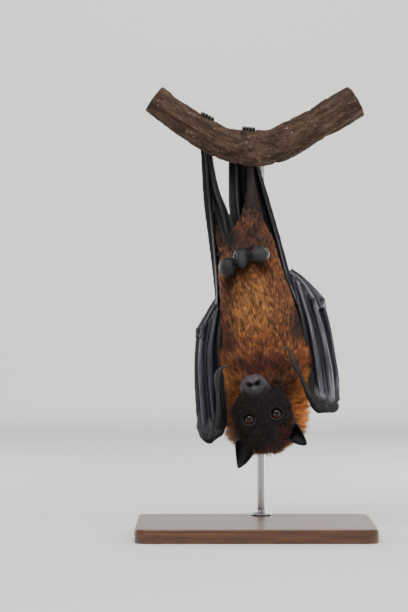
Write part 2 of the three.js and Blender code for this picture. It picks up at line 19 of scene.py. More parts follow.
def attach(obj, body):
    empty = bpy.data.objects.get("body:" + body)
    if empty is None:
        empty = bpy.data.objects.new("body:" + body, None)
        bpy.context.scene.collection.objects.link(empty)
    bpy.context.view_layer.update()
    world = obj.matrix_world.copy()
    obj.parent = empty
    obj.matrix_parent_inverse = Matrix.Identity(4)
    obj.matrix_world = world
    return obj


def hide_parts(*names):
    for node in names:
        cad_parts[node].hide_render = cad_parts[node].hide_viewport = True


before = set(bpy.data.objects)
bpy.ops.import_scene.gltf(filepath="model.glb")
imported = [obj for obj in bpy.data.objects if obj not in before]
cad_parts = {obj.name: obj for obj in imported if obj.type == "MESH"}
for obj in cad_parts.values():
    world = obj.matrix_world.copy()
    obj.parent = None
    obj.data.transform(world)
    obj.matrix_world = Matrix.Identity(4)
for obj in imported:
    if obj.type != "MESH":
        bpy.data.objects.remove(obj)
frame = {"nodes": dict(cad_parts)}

LOG = logging.getLogger("flying_fox")
MM = 0.001
FRONT = np.array([0.0, -1.0, 0.0])
RIGHT = np.array([1.0, 0.0, 0.0])
UP = np.array([0.0, 0.0, 1.0])
Rows = list[list[float]]
Rgb = tuple[int, int, int]
Array = np.ndarray
Tone = NodeSocket | Array


class Zone(IntEnum):
    """The part of the bat that a point of the skin belongs to."""

    HEAD = 0
    TORSO = 1
    ARM = 2
    LEG = 3
    FOOT = 4
    EAR = 5
    THUMB = 6
    WRIST = 7
    FOREARM = 8
    WING = 9
    SCROTUM = 10
    LID = 11


class Slot(Enum):
    """The record's material slots."""

    FUR = "fur"
    BARE_SKIN = "bare_skin"
    WING_SKIN = "wing_skin"
    EYE = "eye"
    CLAW = "claw"
    BARK = "bark"
    BASE_WOOD = "base_wood"
    ROD_STEEL = "rod_steel"


class Side(Enum):
    """The bat's own sides, each with the sign of its X."""

    RIGHT = 1
    LEFT = -1

    @property
    def word(self) -> str:
        """The side's name as it stands in node names."""
        return self.name.lower()


# ---- Small sums ----


def linear(colour: Rgb | Array) -> Array:
    """Turns display colours from 0 to 255 into linear light.

    Args:
        colour: One colour, or an array of them.

    Returns:
        The same colours from 0 to 1 in linear light.
    """
    c = np.asarray(colour, float) / 255
    return np.where(c <= 0.04045, c / 12.92, ((c + 0.055) / 1.055) ** 2.4)


def unit(vectors: Array) -> Array:
    """Scales vectors to length one."""
    return vectors / np.maximum(np.linalg.norm(vectors, axis=-1, keepdims=True), 1e-9)


def around(count: int) -> Array:
    """Gives evenly spaced angles round a full turn."""
    return np.linspace(0, 2 * np.pi, count, endpoint=False)


def circle(count: int) -> Array:
    """Gives points round a level circle of radius one."""
    turn = around(count)
    return np.column_stack([np.cos(turn), np.sin(turn), np.zeros(count)])


def ease(low: float, high: float, values: Array) -> Array:
    """Rises smoothly from 0 at low to 1 at high.

    Args:
        low: Where the rise starts.
        high: Where the rise ends. It may be below low.
        values: The numbers to ease.

    Returns:
        One share from 0 to 1 for each number.
    """
    t = np.clip((values - low) / (high - low), 0, 1)
    return t * t * (3 - 2 * t)


def spline(rows: Rows | Array, count: int) -> Array:
    """Finds points along a smooth curve through rows of numbers.

    Args:
        rows: The rows that the curve passes through.
        count: How many points to give.

    Returns:
        One row for each point.
    """
    p = np.asarray(rows, float)
    ends = np.vstack([2 * p[0] - p[1], p, 2 * p[-1] - p[-2]])
    t = np.linspace(0, len(p) - 1, count)
    at = np.minimum(t.astype(int), len(p) - 2)
    w = (t - at)[:, None]
    p0, p1, p2, p3 = (ends[at + i] for i in range(4))
    d0, d1, d2 = (
        np.sqrt(np.maximum(np.linalg.norm(b - a, axis=1, keepdims=True), 1e-4))
        for a, b in ((p0, p1), (p1, p2), (p2, p3))
    )
    out = ((p1 - p0) / d0 - (p2 - p0) / (d0 + d1) + (p2 - p1) / d1) * d1
    into = ((p2 - p1) / d1 - (p3 - p1) / (d1 + d2) + (p3 - p2) / d2) * d1
    return p1 + w * (out + w * (3 * (p2 - p1) - 2 * out - into + w * (2 * (p1 - p2) + out + into)))


def speckle(points: Array, size: float, seed: int) -> Array:
    """Gives smooth random values over space.

    Args:
        points: The places, one row each.
        size: The width of one speck.
        seed: Which pattern.

    Returns:
        One value from -1 to 1 for each place.
    """
    p = points / size
    cell = np.floor(p).astype(np.int64)
    f = p - cell
    f = f * f * (3 - 2 * f)
    total = np.zeros(len(p))
    for corner in range(8):
        step = np.array([corner & 1, corner >> 1 & 1, corner >> 2 & 1])
        k = cell + step
        h = (k[:, 0] * 73856093) ^ (k[:, 1] * 19349663) ^ (k[:, 2] * 83492791) ^ (seed * 2654435761)
        h = ((h ^ (h >> 13)) * 1274126177) & 0xFFFFFFFF
        share = np.prod(np.where(step == 1, f, 1 - f), axis=1)
        total += share * ((h ^ (h >> 16)) & 0xFFFF) / 0xFFFF
    return 2 * total - 1


# ---- Forms ----


@dataclass
class Form:
    """A closed surface in millimetres, and what each of its points knows of itself.

    across and along are places on the form from 0 to 1, and span is how far those go in millimetres. lie is
    the way that hair lies, depth how thick the coat is, and tint the skin's colour in linear light.
    """

    points: Array
    faces: list
    zone: Zone
    across: Array
    along: Array
    lie: Array
    tint: Array
    span: tuple[float, float]
    depth: Array

    def moved(self, axes: Array, at: Array) -> "Form":
        """Carries the form out of a frame of its own.

        Args:
            axes: The frame's X, Y and Z, one row each.
            at: The frame's origin.

        Returns:
            The same form, moved.
        """
        self.points = self.points @ axes + at
        self.lie = self.lie @ axes
        return self


def oval_rings(path: Array, side: Array, fore: Array, sizes: Array, count: int, peak: float = 1.0) -> Array:
    """Sets an oval ring round each point of a path.

    Args:
        path: The middles of the rings.
        side: The sideways direction at each.
        fore: The forward direction at each.
        sizes: Half width, reach to the front and reach to the back of each.
        count: How many points each ring has.
        peak: Over 1, the front is narrower, like a ridge.

    Returns:
        The rings' points, as rings × count × 3.
    """
    turn = around(count)
    rise = np.sin(turn)
    lift = np.where(rise > 0, np.abs(rise) ** peak * sizes[:, 1:2], rise * sizes[:, 2:3])
    wide = np.cos(turn) * sizes[:, 0:1]
    return path[:, None] + wide[..., None] * side[:, None] + lift[..., None] * fore[:, None]


def loft(rings: Array, zone: Zone, tint: Rgb, lie_sign: float = 1.0) -> Form:
    """Closes a surface over rings.

    Args:
        rings: The rings' points, as rings × count × 3.
        zone: Which part of the bat it is.
        tint: The skin's colour.
        lie_sign: 1 if hair lies from the first ring to the last, or -1.

    Returns:
        The form.
    """
    r, s, _ = rings.shape
    i = np.arange((r - 1) * s).reshape(r - 1, s)
    j = np.roll(i, -1, axis=1)
    faces = np.stack([i, j, j + s, i + s], axis=-1).reshape(-1, 4).tolist()
    faces += [list(range(s))[::-1], list(range((r - 1) * s, r * s))]
    along, across = np.meshgrid(np.linspace(0, 1, r), np.linspace(0, 1, s), indexing="ij")
    lie = unit(np.gradient(rings, axis=0)) * lie_sign
    colour = np.tile(linear(tint), (r * s, 1))
    girth = np.linalg.norm(np.roll(rings, -1, axis=1) - rings, axis=2).sum(axis=1).mean()
    length = np.linalg.norm(np.diff(rings, axis=0), axis=2).mean(axis=1).sum()
    return Form(
        rings.reshape(-1, 3), faces, zone, across.ravel(), along.ravel(), lie.reshape(-1, 3), colour,
        (girth, length), np.zeros(r * s),
    )


def limb(rows: Rows, count: int, sides: int, zone: Zone, tint: Rgb, fore: Array = FRONT) -> Form:
    """Lofts a rounded limb.

    Args:
        rows: x, y, z, half width and half depth; the depth may be left out.
        count: How many rings.
        sides: How many points in each ring.
        zone: Which part of the bat it is.
        tint: The skin's colour.
        fore: The way its front faces.

    Returns:
        The form.
    """
    full = [[*row[:4], row[4] if len(row) > 4 else row[3]] for row in rows]
    curve = spline(full, count)
    along = unit(np.gradient(curve[:, :3], axis=0))
    side = unit(np.cross(along, fore))
    front = unit(np.cross(side, along))
    sizes = np.maximum(curve[:, [3, 4, 4]], 0.12)
    return loft(oval_rings(curve[:, :3], side, front, sizes, sides), zone, tint)


def egg(at: list[float], radii: list[float], zone: Zone, tint: Rgb) -> Form:
    """Makes an ellipsoid.

    Args:
        at: Its middle.
        radii: Its half sizes along X, Y and Z.
        zone: Which part of the bat it is.
        tint: The skin's colour.

    Returns:
        The form.
    """
    down = np.linspace(0.04, np.pi - 0.04, 24)
    rings = circle(36)[None] * np.sin(down)[:, None, None] + UP * np.cos(down)[:, None, None]
    return loft(rings * np.array(radii) + np.array(at), zone, tint, -1)


def thicken(middle: Array, half: Array, zone: Zone, tint: Array) -> Form:
    """Closes a sheet of varying thickness over a grid.

    Args:
        middle: The sheet's middle surface, as rows × columns × 3.
        half: Half its thickness at each point.
        zone: Which part of the bat it is.
        tint: Its colour at each point, in linear light.

    Returns:
        The form.
    """
    r, c, _ = middle.shape
    down, over = np.gradient(middle, axis=0), np.gradient(middle, axis=1)
    normal = unit(np.cross(down, over)) * half[..., None]
    i = np.arange(r * c).reshape(r, c)
    n = r * c
    quads = np.stack([i[:-1, :-1], i[:-1, 1:], i[1:, 1:], i[1:, :-1]], axis=-1).reshape(-1, 4)
    rim = np.concatenate([i[0, :], i[1:, -1], i[-1, -2::-1], i[-2:0:-1, 0]])
    after = np.roll(rim, -1)
    edge = np.stack([after, rim, rim + n, after + n], axis=-1)
    faces = np.vstack([quads, quads[:, ::-1] + n, edge]).tolist()
    along, across = np.meshgrid(np.linspace(0, 1, r), np.linspace(0, 1, c), indexing="ij")
    points = np.vstack([(middle + normal).reshape(-1, 3), (middle - normal).reshape(-1, 3)])
    lie = unit(down).reshape(-1, 3)
    known = [np.concatenate([a.reshape(n, -1)] * 2).squeeze() for a in (across, along, lie, tint)]
    width = np.linalg.norm(np.diff(middle, axis=1), axis=2).sum(axis=1).mean()
    length = np.linalg.norm(np.diff(middle, axis=0), axis=2).sum(axis=0).mean()
    return Form(points, faces, zone, *known, (width, length), np.zeros(2 * n))


@dataclass(frozen=True)
class Ridge:
    """A finger bone in a folded membrane, and how deep the pleat after it sinks to the back.

    path goes from the wrist to the fingertip, and bone gives the radius at its start and its end.
    """

    path: Rows
    bone: tuple[float, float]
    fold: float = 0.0


@dataclass(frozen=True)
class MembraneFinish:
    """Colours of a folded membrane: its valleys, darkened as painted shade, its crests and its bones,
    lightened as painted sheen, and how pale its start is, a painted sheen near the wrist.
    """

    valley: Rgb = (10, 10, 13)
    crest: Rgb = (52, 52, 60)
    bone: Rgb = (66, 66, 74)
    toned: float = 0.0


def membrane(
    ridges: list[Ridge],
    rows: int,
    pleat: int,
    crimp: float,
    folds: float = 3.5,
    finish: MembraneFinish = MembraneFinish(),
    half: float = 0.68,
) -> Form:
    """Spreads a pleated membrane over bones that lie side by side.

    Args:
        ridges: The bones, in order.
        rows: How many points along each bone.
        pleat: How many columns between two bones.
        crimp: The height of the small folds inside each pleat.
        folds: How many small folds each pleat has.
        finish: The colours.
        half: Half the membrane's thickness.

    Returns:
        The form.
    """
    paths = np.array([spline(ridge.path, rows) for ridge in ridges])
    columns = (len(ridges) - 1) * pleat + 1
    t = np.linspace(0, 1, rows)
    middle = np.zeros((rows, columns, 3))
    thick = np.zeros((rows, columns))
    tint = np.zeros((rows, columns, 3))
    valley, crest, bone_tint = (linear(c) for c in (finish.valley, finish.crest, finish.bone))
    for c in range(columns):
        k = min(c // pleat, len(ridges) - 2)
        share = c / pleat - k
        width = np.linalg.norm(paths[k + 1] - paths[k], axis=1)
        hollow = math.sin(math.pi * share) ** 2
        drift = 0.7 * np.sin(3.1 * t + 1.7 * k) + 0.4 * np.sin(7.3 * t + k)
        crease = 1 - np.abs(np.sin(np.pi * folds * share + drift + 1.1 * k))
        small = (2 * crease**1.3 - 0.8) * min(1, 3.5 * hollow)
        swing = (0.6 + 0.4 * np.sin(np.pi * np.clip(t * 1.15, 0, 1))) * np.minimum(1, width / 6)
        sink = ridges[k].fold * hollow - crimp * small * swing
        middle[:, c] = paths[k] + (paths[k + 1] - paths[k]) * share + np.outer(sink, -FRONT)
        near = ridges[k] if share < 0.5 else ridges[k + 1]
        joint = 1 + 0.3 * np.exp(-(((1 - t) / 0.035) ** 2)) + 0.15 * np.exp(-((t / 0.05) ** 2))
        bone = (near.bone[0] + (near.bone[1] - near.bone[0]) * t) * joint
        away = min(share, 1 - share) * width
        hug = np.exp(-((away / (bone + 0.4)) ** 2))
        thick[:, c] = half + np.maximum(0, bone - half) * hug
        # Painted light: crests and bones lighter as painted sheen, pleat valleys darker as painted shade;
        # pale lightens the start near the wrist as painted sheen.
        high = np.clip(0.3 + 0.62 * small - 0.2 * hollow, 0, 1)
        pale = 1 + finish.toned * ease(0.5, 0.12, t)[:, None]
        skin = valley + np.outer(high, crest - valley)
        tint[:, c] = (skin + (bone_tint - skin) * (0.85 * hug)[:, None]) * pale
    return thicken(middle, thick, Zone.WING, tint)


def mesh_of(name: str, points: Array, faces: list | Array) -> Object:
    """Makes a smooth-shaded object.

    Args:
        name: The object's name.
        points: Its corners in millimetres.
        faces: Its faces, as lists of corners.

    Returns:
        The object, linked to the scene.
    """
    mesh = bpy.data.meshes.new(name)
    if isinstance(faces, Array):
        mesh.vertices.add(len(points))
        mesh.vertices.foreach_set("co", (points * MM).astype(np.float32).ravel())
        mesh.loops.add(faces.size)
        mesh.loops.foreach_set("vertex_index", faces.astype(np.int32).ravel())
        mesh.polygons.add(len(faces))
        mesh.polygons.foreach_set("loop_start", np.arange(0, faces.size, faces.shape[1], dtype=np.int32))
        mesh.update(calc_edges=True)
    else:
        mesh.from_pydata((points * MM).tolist(), [], faces)
    mesh.polygons.foreach_set("use_smooth", np.ones(len(mesh.polygons), bool))
    mesh.update()
    thing = bpy.data.objects.new(name, mesh)
    bpy.context.scene.collection.objects.link(thing)
    return thing


def joined(forms: list[Form]) -> tuple[Array, list]:
    """Puts forms together without merging them.

    Args:
        forms: The forms.

    Returns:
        All their points, and all their faces.
    """
    faces, start = [], 0
    for form in forms:
        faces += [[v + start for v in face] for face in form.faces]
        start += len(form.points)
    return np.vstack([form.points for form in forms]), faces


def note(mesh: Mesh, name: str, values: Array) -> None:
    """Keeps values on a mesh's points for its material.

    Args:
        mesh: The mesh.
        name: What the values are called.
        values: One number, vector or colour for each point; a colour is in a name that ends in tint.
    """
    if values.ndim == 1:
        layer = mesh.attributes.new(name, "FLOAT", "POINT")
        layer.data.foreach_set("value", values.astype(np.float32))
    elif name.endswith("tint"):
        layer = mesh.attributes.new(name, "FLOAT_COLOR", "POINT")
        full = np.column_stack([values, np.ones(len(values))])
        layer.data.foreach_set("color", full.astype(np.float32).ravel())
    else:
        layer = mesh.attributes.new(name, "FLOAT_VECTOR", "POINT")
        layer.data.foreach_set("vector", values.astype(np.float32).ravel())


def settle(piece: Object, materials: list[Material], slot: Slot, *nodes: str) -> None:
    """Finishes a piece and fixes it to the frame, in place of some of its nodes.

    Args:
        piece: The piece.
        materials: Its materials.
        slot: The record's slot; not used.
        nodes: The nodes that it stands for.
    """
    for material in materials:
        piece.data.materials.append(material)
    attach(piece, "root")
    if nodes:
        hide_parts(*nodes)
    LOG.info("%s: %d faces", piece.name, len(piece.data.polygons))


# ---- Finishes ----


class Shade:
    """A material's node tree, with short ways to add to it."""

    def __init__(self, name: str, roughness: float, specular: float, **more: object) -> None:
        """Starts a material with a plain shader.

        Args:
            name: The material's name.
            roughness: The shader's roughness.
            specular: The shader's specular level.
            more: Other settings of the shader, such as coat_weight.
        """
        self.material = bpy.data.materials.new(name)
        self.material.use_nodes = True
        self.tree = self.material.node_tree
        self.shader = self.tree.nodes["Principled BSDF"]
        self.shader.inputs["Roughness"].default_value = roughness
        self.shader.inputs["Specular IOR Level"].default_value = specular
        for key, value in more.items():
            self.shader.inputs[key.replace("_", " ").title()].default_value = value

    def add(self, kind: str, **settings: object) -> Node:
        """Adds a node.

        Args:
            kind: Its type without the ShaderNode in front.
            settings: Its properties.

        Returns:
            The node.
        """
        made = self.tree.nodes.new("ShaderNode" + kind)
        for key, value in settings.items():
            setattr(made, key, value)
        return made

    def put(self, source: NodeSocket, target: NodeSocket) -> None:
        """Links one socket to another."""
        self.tree.links.new(source, target)

    def read(self, name: str, kind: str) -> NodeSocket:
        """Reads values kept on the mesh, as a Color, a Vector or a Fac."""
        return self.add("Attribute", attribute_name=name).outputs[kind]

    def place(self, stretch: tuple[float, ...] = (1, 1, 1), source: NodeSocket | None = None) -> NodeSocket:
        """Gives coordinates.

        Args:
            stretch: How much finer to make each of them.
            source: What to stretch; the piece's own coordinates if it is left out.

        Returns:
            The socket that holds them.
        """
        scale = self.add("Mapping")
        scale.inputs["Scale"].default_value = stretch
        self.put(source or self.add("TexCoord").outputs["Object"], scale.inputs["Vector"])
        return scale.outputs["Vector"]

    def grain(self, vector: NodeSocket, scale: float, detail: float = 3.0, rough: float = 0.6) -> NodeSocket:
        """Adds a noise texture.

        Args:
            vector: Where to read it.
            scale: How fine it is.
            detail: How many finer layers it has.
            rough: How strong those are.

        Returns:
            The socket with its value.
        """
        noise = self.add("TexNoise")
        noise.inputs["Scale"].default_value = scale
        noise.inputs["Detail"].default_value = detail
        noise.inputs["Roughness"].default_value = rough
        self.put(vector, noise.inputs["Vector"])
        return noise.outputs["Fac"]

    def ramp(self, value: NodeSocket, stops: list[tuple[float, tuple[float, ...]]]) -> NodeSocket:
        """Turns a value into a colour.

        Args:
            value: The value.
            stops: Positions and linear colours.

        Returns:
            The socket with the colour.
        """
        made = self.add("ValToRGB")
        band = made.color_ramp
        while len(band.elements) < len(stops):
            band.elements.new(0.5)
        for element, (at, colour) in zip(band.elements, stops):
            element.position = at
            element.color = (*colour[:3], 1)
        self.put(value, made.inputs["Fac"])
        return made.outputs["Color"]

    def spread(
        self, value: NodeSocket, low: float, high: float, start: float = 0.3, end: float = 0.7
    ) -> NodeSocket:
        """Moves a value from one range to another.

        Args:
            value: The value.
            low: What it becomes at start.
            high: What it becomes at end.
            start: The bottom of its old range.
            end: The top of its old range.

        Returns:
            The socket with the new value.
        """
        made = self.add("MapRange")
        for key, number in (("From Min", start), ("From Max", end), ("To Min", low), ("To Max", high)):
            made.inputs[key].default_value = number
        self.put(value, made.inputs["Value"])
        return made.outputs["Result"]

    def sum(self, first: NodeSocket, second: NodeSocket, operation: str = "MULTIPLY") -> NodeSocket:
        """Combines two values.

        Args:
            first: The first value.
            second: The second value.
            operation: What to do with them.

        Returns:
            The socket with the outcome.
        """
        made = self.add("Math", operation=operation)
        self.put(first, made.inputs[0])
        self.put(second, made.inputs[1])
        return made.outputs[0]

    def blend(self, share: NodeSocket, first: NodeSocket, second: Tone) -> NodeSocket:
        """Mixes two colours.

        Args:
            share: How much of the second.
            first: The first colour.
            second: The second colour, from a socket or as linear light.

        Returns:
            The socket with the mixture.
        """
        made = self.add("Mix", data_type="RGBA")
        self.put(share, made.inputs[0])
        self.put(first, made.inputs[6])
        if isinstance(second, NodeSocket):
            self.put(second, made.inputs[7])
        else:
            made.inputs[7].default_value = (*second, 1)
        return made.outputs[2]

    def times(self, first: NodeSocket, second: NodeSocket) -> NodeSocket:
        """Multiplies two colours.

        Args:
            first: The first colour.
            second: The second colour.

        Returns:
            The socket with their product.
        """
        made = self.add("Mix", data_type="RGBA", blend_type="MULTIPLY")
        made.inputs[0].default_value = 1.0
        self.put(first, made.inputs[6])
        self.put(second, made.inputs[7])
        return made.outputs[2]

    def relief(self, height: NodeSocket, depth: float, strength: float = 1.0) -> None:
        """Gives the surface relief.

        Args:
            height: The height, from 0 to 1.
            depth: How far that is, in millimetres.
            strength: How much of it shows.
        """
        bump = self.add("Bump")
        bump.inputs["Distance"].default_value = depth * MM
        bump.inputs["Strength"].default_value = strength
        self.put(height, bump.inputs["Height"])
        for link in list(self.shader.inputs["Normal"].links):
            self.put(link.from_socket, bump.inputs["Normal"])
        self.put(bump.outputs["Normal"], self.shader.inputs["Normal"])

    def colour(self, source: NodeSocket) -> None:
        """Links the shader's base colour."""
        self.put(source, self.shader.inputs["Base Color"])

    def roughness(self, source: NodeSocket) -> None:
        """Links the shader's roughness."""
        self.put(source, self.shader.inputs["Roughness"])


@dataclass(frozen=True)
class HairFinish:
    """Soft hair, in the colours kept on each tuft."""

    name: str = "soft_hair"
    roughness: float = 0.6
    sheen: float = 0.05

    def material(self) -> Material:
        """Makes the material.

        Returns:
            The material.
        """
        shade = Shade(self.name, self.roughness, 0.3, sheen_weight=self.sheen, sheen_roughness=0.4)
        tone = shade.read("hair_tint", "Color")
        streak = shade.grain(shade.place((1, 1, 0.25)), 900, 2)
        dark = shade.ramp(streak, [(0.3, (0.62, 0.62, 0.62)), (0.7, (1.2, 1.2, 1.2))])
        shade.colour(shade.times(tone, dark))
        return shade.material


@dataclass(frozen=True)
class HideFinish:
    """Bare skin and wing skin, with creases that run along the folds."""

    name: str = "bat_hide"

    def material(self) -> Material:
        """Makes the material.

        Returns:
            The material.
        """
        shade = Shade(self.name, 0.5, 0.32)
        tone = shade.read("hide_tint", "Color")
        wing = shade.read("wing", "Fac")
        fold = shade.read("fold", "Vector")
        lines = shade.grain(shade.place((0.62, 0.014, 1), fold), 1.0, 5, 0.62)
        threads = shade.grain(shade.place((1.5, 0.05, 1), fold), 1.0, 3, 0.6)
        cells = shade.add("TexVoronoi", feature="DISTANCE_TO_EDGE")
        cells.inputs["Scale"].default_value = 900
        shade.put(shade.place(), cells.inputs["Vector"])
        crackle = shade.spread(cells.outputs["Distance"], 0, 1, 0.0, 0.22)
        pores = shade.grain(shade.place(), 1500, 3)
        # Pale streaks along the folds: partly a pattern of fine creases, partly painted sheen on the wing
        # skin.
        streaks = shade.ramp(
            lines, [(0.36, (0.38, 0.38, 0.4)), (0.5, (0.85, 0.85, 0.87)), (0.64, (2.3, 2.3, 2.36))]
        )
        hairs = shade.ramp(threads, [(0.34, (0.7, 0.7, 0.7)), (0.66, (1.4, 1.4, 1.4))])
        streaks = shade.times(streaks, hairs)
        mottle = shade.ramp(
            shade.grain(shade.place(), 260, 4), [(0.3, (0.75, 0.74, 0.74)), (0.7, (1.25, 1.24, 1.24))]
        )
        shade.colour(shade.times(tone, shade.blend(wing, mottle, streaks)))
        shade.roughness(shade.spread(lines, 0.36, 0.54))
        bare = shade.add("Math", operation="SUBTRACT")
        bare.inputs[0].default_value = 1.0
        shade.put(wing, bare.inputs[1])
        shade.relief(shade.sum(crackle, bare.outputs[0]), 0.16, 0.8)
        shade.relief(shade.sum(pores, bare.outputs[0]), 0.12, 0.6)
        shade.relief(shade.sum(lines, wing), 0.7, 0.7)
        shade.relief(shade.sum(threads, wing), 0.3, 0.7)
        return shade.material


@dataclass(frozen=True)
class EyeFinish:
    """A wet brown eye: black pupil, streaked iris and a dark rim, with painted shade of the upper lid over
    its top.
    """

    name: str = "wet_eye"
    pupil: Rgb = (4, 3, 3)
    iris: Rgb = (88, 57, 36)
    inner: Rgb = (36, 23, 16)
    rim: Rgb = (12, 8, 7)

    def material(self) -> Material:
        """Makes the material.

        Returns:
            The material.
        """
        shade = Shade(self.name, 0.2, 0.05, coat_weight=0.6, coat_roughness=0.05)
        place = shade.read("iris_place", "Vector")
        reach = shade.add("VectorMath", operation="LENGTH")
        shade.put(place, reach.inputs[0])
        spin = shade.add("VectorMath", operation="NORMALIZE")
        shade.put(place, spin.inputs[0])
        streak = shade.grain(spin.outputs["Vector"], 9, 4, 0.7)
        bands = shade.ramp(
            reach.outputs["Value"],
            [
                (0.0, linear(self.pupil)), (0.46, linear(self.pupil)), (0.5, linear(self.inner)),
                (0.68, linear(self.iris)), (0.84, linear(self.inner)), (0.92, linear(self.rim)),
                (1.0, linear(self.rim)),
            ],
        )
        rays = shade.ramp(streak, [(0.3, (0.5, 0.5, 0.5)), (0.7, (1.5, 1.4, 1.2))])
        # Painted shade of the upper lid: the iris and pupil get darker towards the eye's top.
        parts = shade.add("SeparateXYZ")
        shade.put(place, parts.inputs[0])
        height = shade.spread(parts.outputs["X"], 0, 1, -1, 1)
        lid = shade.ramp(
            height, [(0.3, (1.0, 1.0, 1.0)), (0.55, (0.55, 0.55, 0.55)), (0.75, (0.12, 0.12, 0.12))]
        )
        shade.colour(shade.times(shade.times(bands, rays), lid))
        return shade.material


@dataclass(frozen=True)
class HornFinish:
    """Dark claw horn with lengthwise streaks."""

    name: str = "claw_horn"

    def material(self) -> Material:
        """Makes the material.

        Returns:
            The material.
        """
        shade = Shade(self.name, 0.3, 0.5)
        streak = shade.grain(shade.place((1, 1, 0.4)), 700, 3)
        shade.colour(shade.ramp(streak, [(0.3, (0.006, 0.005, 0.005)), (0.75, (0.035, 0.03, 0.028))]))
        shade.roughness(shade.spread(streak, 0.22, 0.42))
        shade.relief(streak, 0.1, 0.5)
        return shade.material


@dataclass(frozen=True)
class BarkFinish:
    """Rough brown bark with pale flecks and grey lichen."""

    name: str = "branch_bark"

    def material(self) -> Material:
        """Makes the material.

        Returns:
            The material.
        """
        shade = Shade(self.name, 0.85, 0.25)
        at = shade.read("bark_place", "Vector")
        plates = shade.grain(at, 0.16, 6, 0.7)
        fine = shade.grain(at, 0.9, 5, 0.7)
        flecks = shade.grain(shade.place(), 420, 2, 0.5)
        base = shade.ramp(
            plates,
            [
                (0.25, linear((30, 21, 17))), (0.45, linear((62, 46, 36))), (0.6, linear((88, 69, 55))),
                (0.8, linear((122, 104, 88))),
            ],
        )
        tone = shade.ramp(fine, [(0.3, (0.5, 0.48, 0.46)), (0.7, (1.35, 1.33, 1.3))])
        toned = shade.times(base, tone)
        shade.colour(shade.blend(shade.spread(flecks, 0, 0.75, 0.66, 0.78), toned, linear((176, 164, 148))))
        shade.roughness(shade.spread(fine, 0.75, 0.95))
        shade.relief(plates, 2.4, 0.9)
        shade.relief(fine, 0.9, 0.9)
        return shade.material


@dataclass(frozen=True)
class CutWoodFinish:
    """The sawn end of a branch, with growth rings."""

    name: str = "sawn_wood"

    def material(self) -> Material:
        """Makes the material.

        Returns:
            The material.
        """
        shade = Shade(self.name, 0.75, 0.3)
        wobble = shade.grain(shade.place(), 120, 3)
        sway = shade.spread(wobble, -0.8, 0.8, 0, 1)
        rings = shade.sum(shade.read("ring", "Fac"), sway, "ADD")
        wave = shade.add("Math", operation="SINE")
        shade.put(shade.spread(rings, 0, 75.6, 0, 18), wave.inputs[0])
        shade.colour(
            shade.ramp(
                shade.spread(wave.outputs[0], 0, 1, -1, 1),
                [(0.0, linear((196, 158, 108))), (0.6, linear((182, 140, 90))), (1.0, linear((140, 98, 60)))],
            )
        )
        shade.relief(wobble, 0.4, 0.6)
        return shade.material


@dataclass(frozen=True)
class BoardFinish:
    """Dark stained wood under a satin lacquer, lighter where its edge is rubbed."""

    name: str = "stained_board"

    def material(self) -> Material:
        """Makes the material.

        Returns:
            The material.
        """
        shade = Shade(self.name, 0.36, 0.45, coat_weight=0.25, coat_roughness=0.25)
        lines = shade.grain(shade.place((0.55, 9, 9)), 11, 6, 0.62)
        pores = shade.grain(shade.place((2, 60, 60)), 20, 3, 0.6)
        figure = shade.ramp(
            lines, [(0.3, linear((48, 27, 15))), (0.5, linear((84, 50, 28))), (0.7, linear((118, 75, 43)))]
        )
        tick = shade.ramp(
            pores, [(0.3, (0.6, 0.58, 0.55)), (0.55, (1.0, 1.0, 1.0)), (0.8, (1.12, 1.1, 1.08))]
        )
        stained = shade.times(figure, tick)
        wear = shade.sum(shade.read("edge", "Fac"), shade.spread(lines, 0.1, 0.7))
        shade.colour(shade.blend(wear, stained, linear((142, 96, 58))))
        shade.roughness(shade.spread(pores, 0.3, 0.48))
        shade.relief(pores, 0.12, 0.5)
        return shade.material


@dataclass(frozen=True)
class SteelFinish:
    """Brushed steel rod."""

    name: str = "brushed_rod"

    def material(self) -> Material:
        """Makes the material.

        Returns:
            The material.
        """
        shade = Shade(self.name, 0.32, 0.5, metallic=1.0)
        lines = shade.grain(shade.place((1, 1, 40)), 300, 3)
        shade.colour(shade.ramp(lines, [(0.3, (0.36, 0.36, 0.37)), (0.7, (0.62, 0.62, 0.63))]))
        shade.roughness(shade.spread(lines, 0.24, 0.42))
        shade.relief(lines, 0.02, 0.4)
        return shade.material


@dataclass(frozen=True)
class FloorFinish:
    """Plain pale floor."""

    name: str = "pale_floor"
    tone: Rgb = (232, 231, 228)

    def material(self) -> Material:
        """Makes the material."""
        return Shade(self.name, 0.9, 0.1, base_color=(*linear(self.tone), 1)).material


# ---- Where things are ----


@dataclass(frozen=True)
class HeadFrame:
    """The head's own frame: X to the bat's right, +Z along the muzzle and -Y out of the forehead."""

    roll: float = 12.0
    pitch: float = 25.0
    at: tuple[float, float, float] = (6.5, -20.0, 127.7)

    @property
    def axes(self) -> Array:
        """The frame's X, Y and Z, one row each.

        Returns:
            The three directions.
        """
        roll, pitch = math.radians(self.roll), math.radians(self.pitch)
        sideways = np.array([math.cos(roll), 0, math.sin(roll)])
        ahead = math.cos(pitch)
        muzzle = np.array([-math.sin(roll) * ahead, -math.sin(pitch), math.cos(roll) * ahead])
        return np.array([sideways, np.cross(muzzle, sideways), muzzle])

    def into(self, points: Array) -> Array:
        """Turns points of the model into points in the head's frame."""
        return (points - np.array(self.at)) @ self.axes.T


@dataclass(frozen=True)
class Patch:
    """A soft-edged patch of colour: its middle, its half sizes and how fully it covers."""

    at: tuple[float, float, float]
    size: tuple[float, float, float]
    colour: Rgb
    cover: float = 0.9

    def over(self, points: Array, tint: Array) -> Array:
        """Lays the patch over colours.

        Args:
            points: Where the colours are.
            tint: The colours so far.

        Returns:
            The colours with the patch.
        """
        away = np.linalg.norm((points - np.array(self.at)) / np.array(self.size), axis=1)
        share = self.cover * ease(1.3, 0.5, away + 0.14 * speckle(points, 7, 5))
        return tint + (linear(self.colour) - tint) * share[:, None]


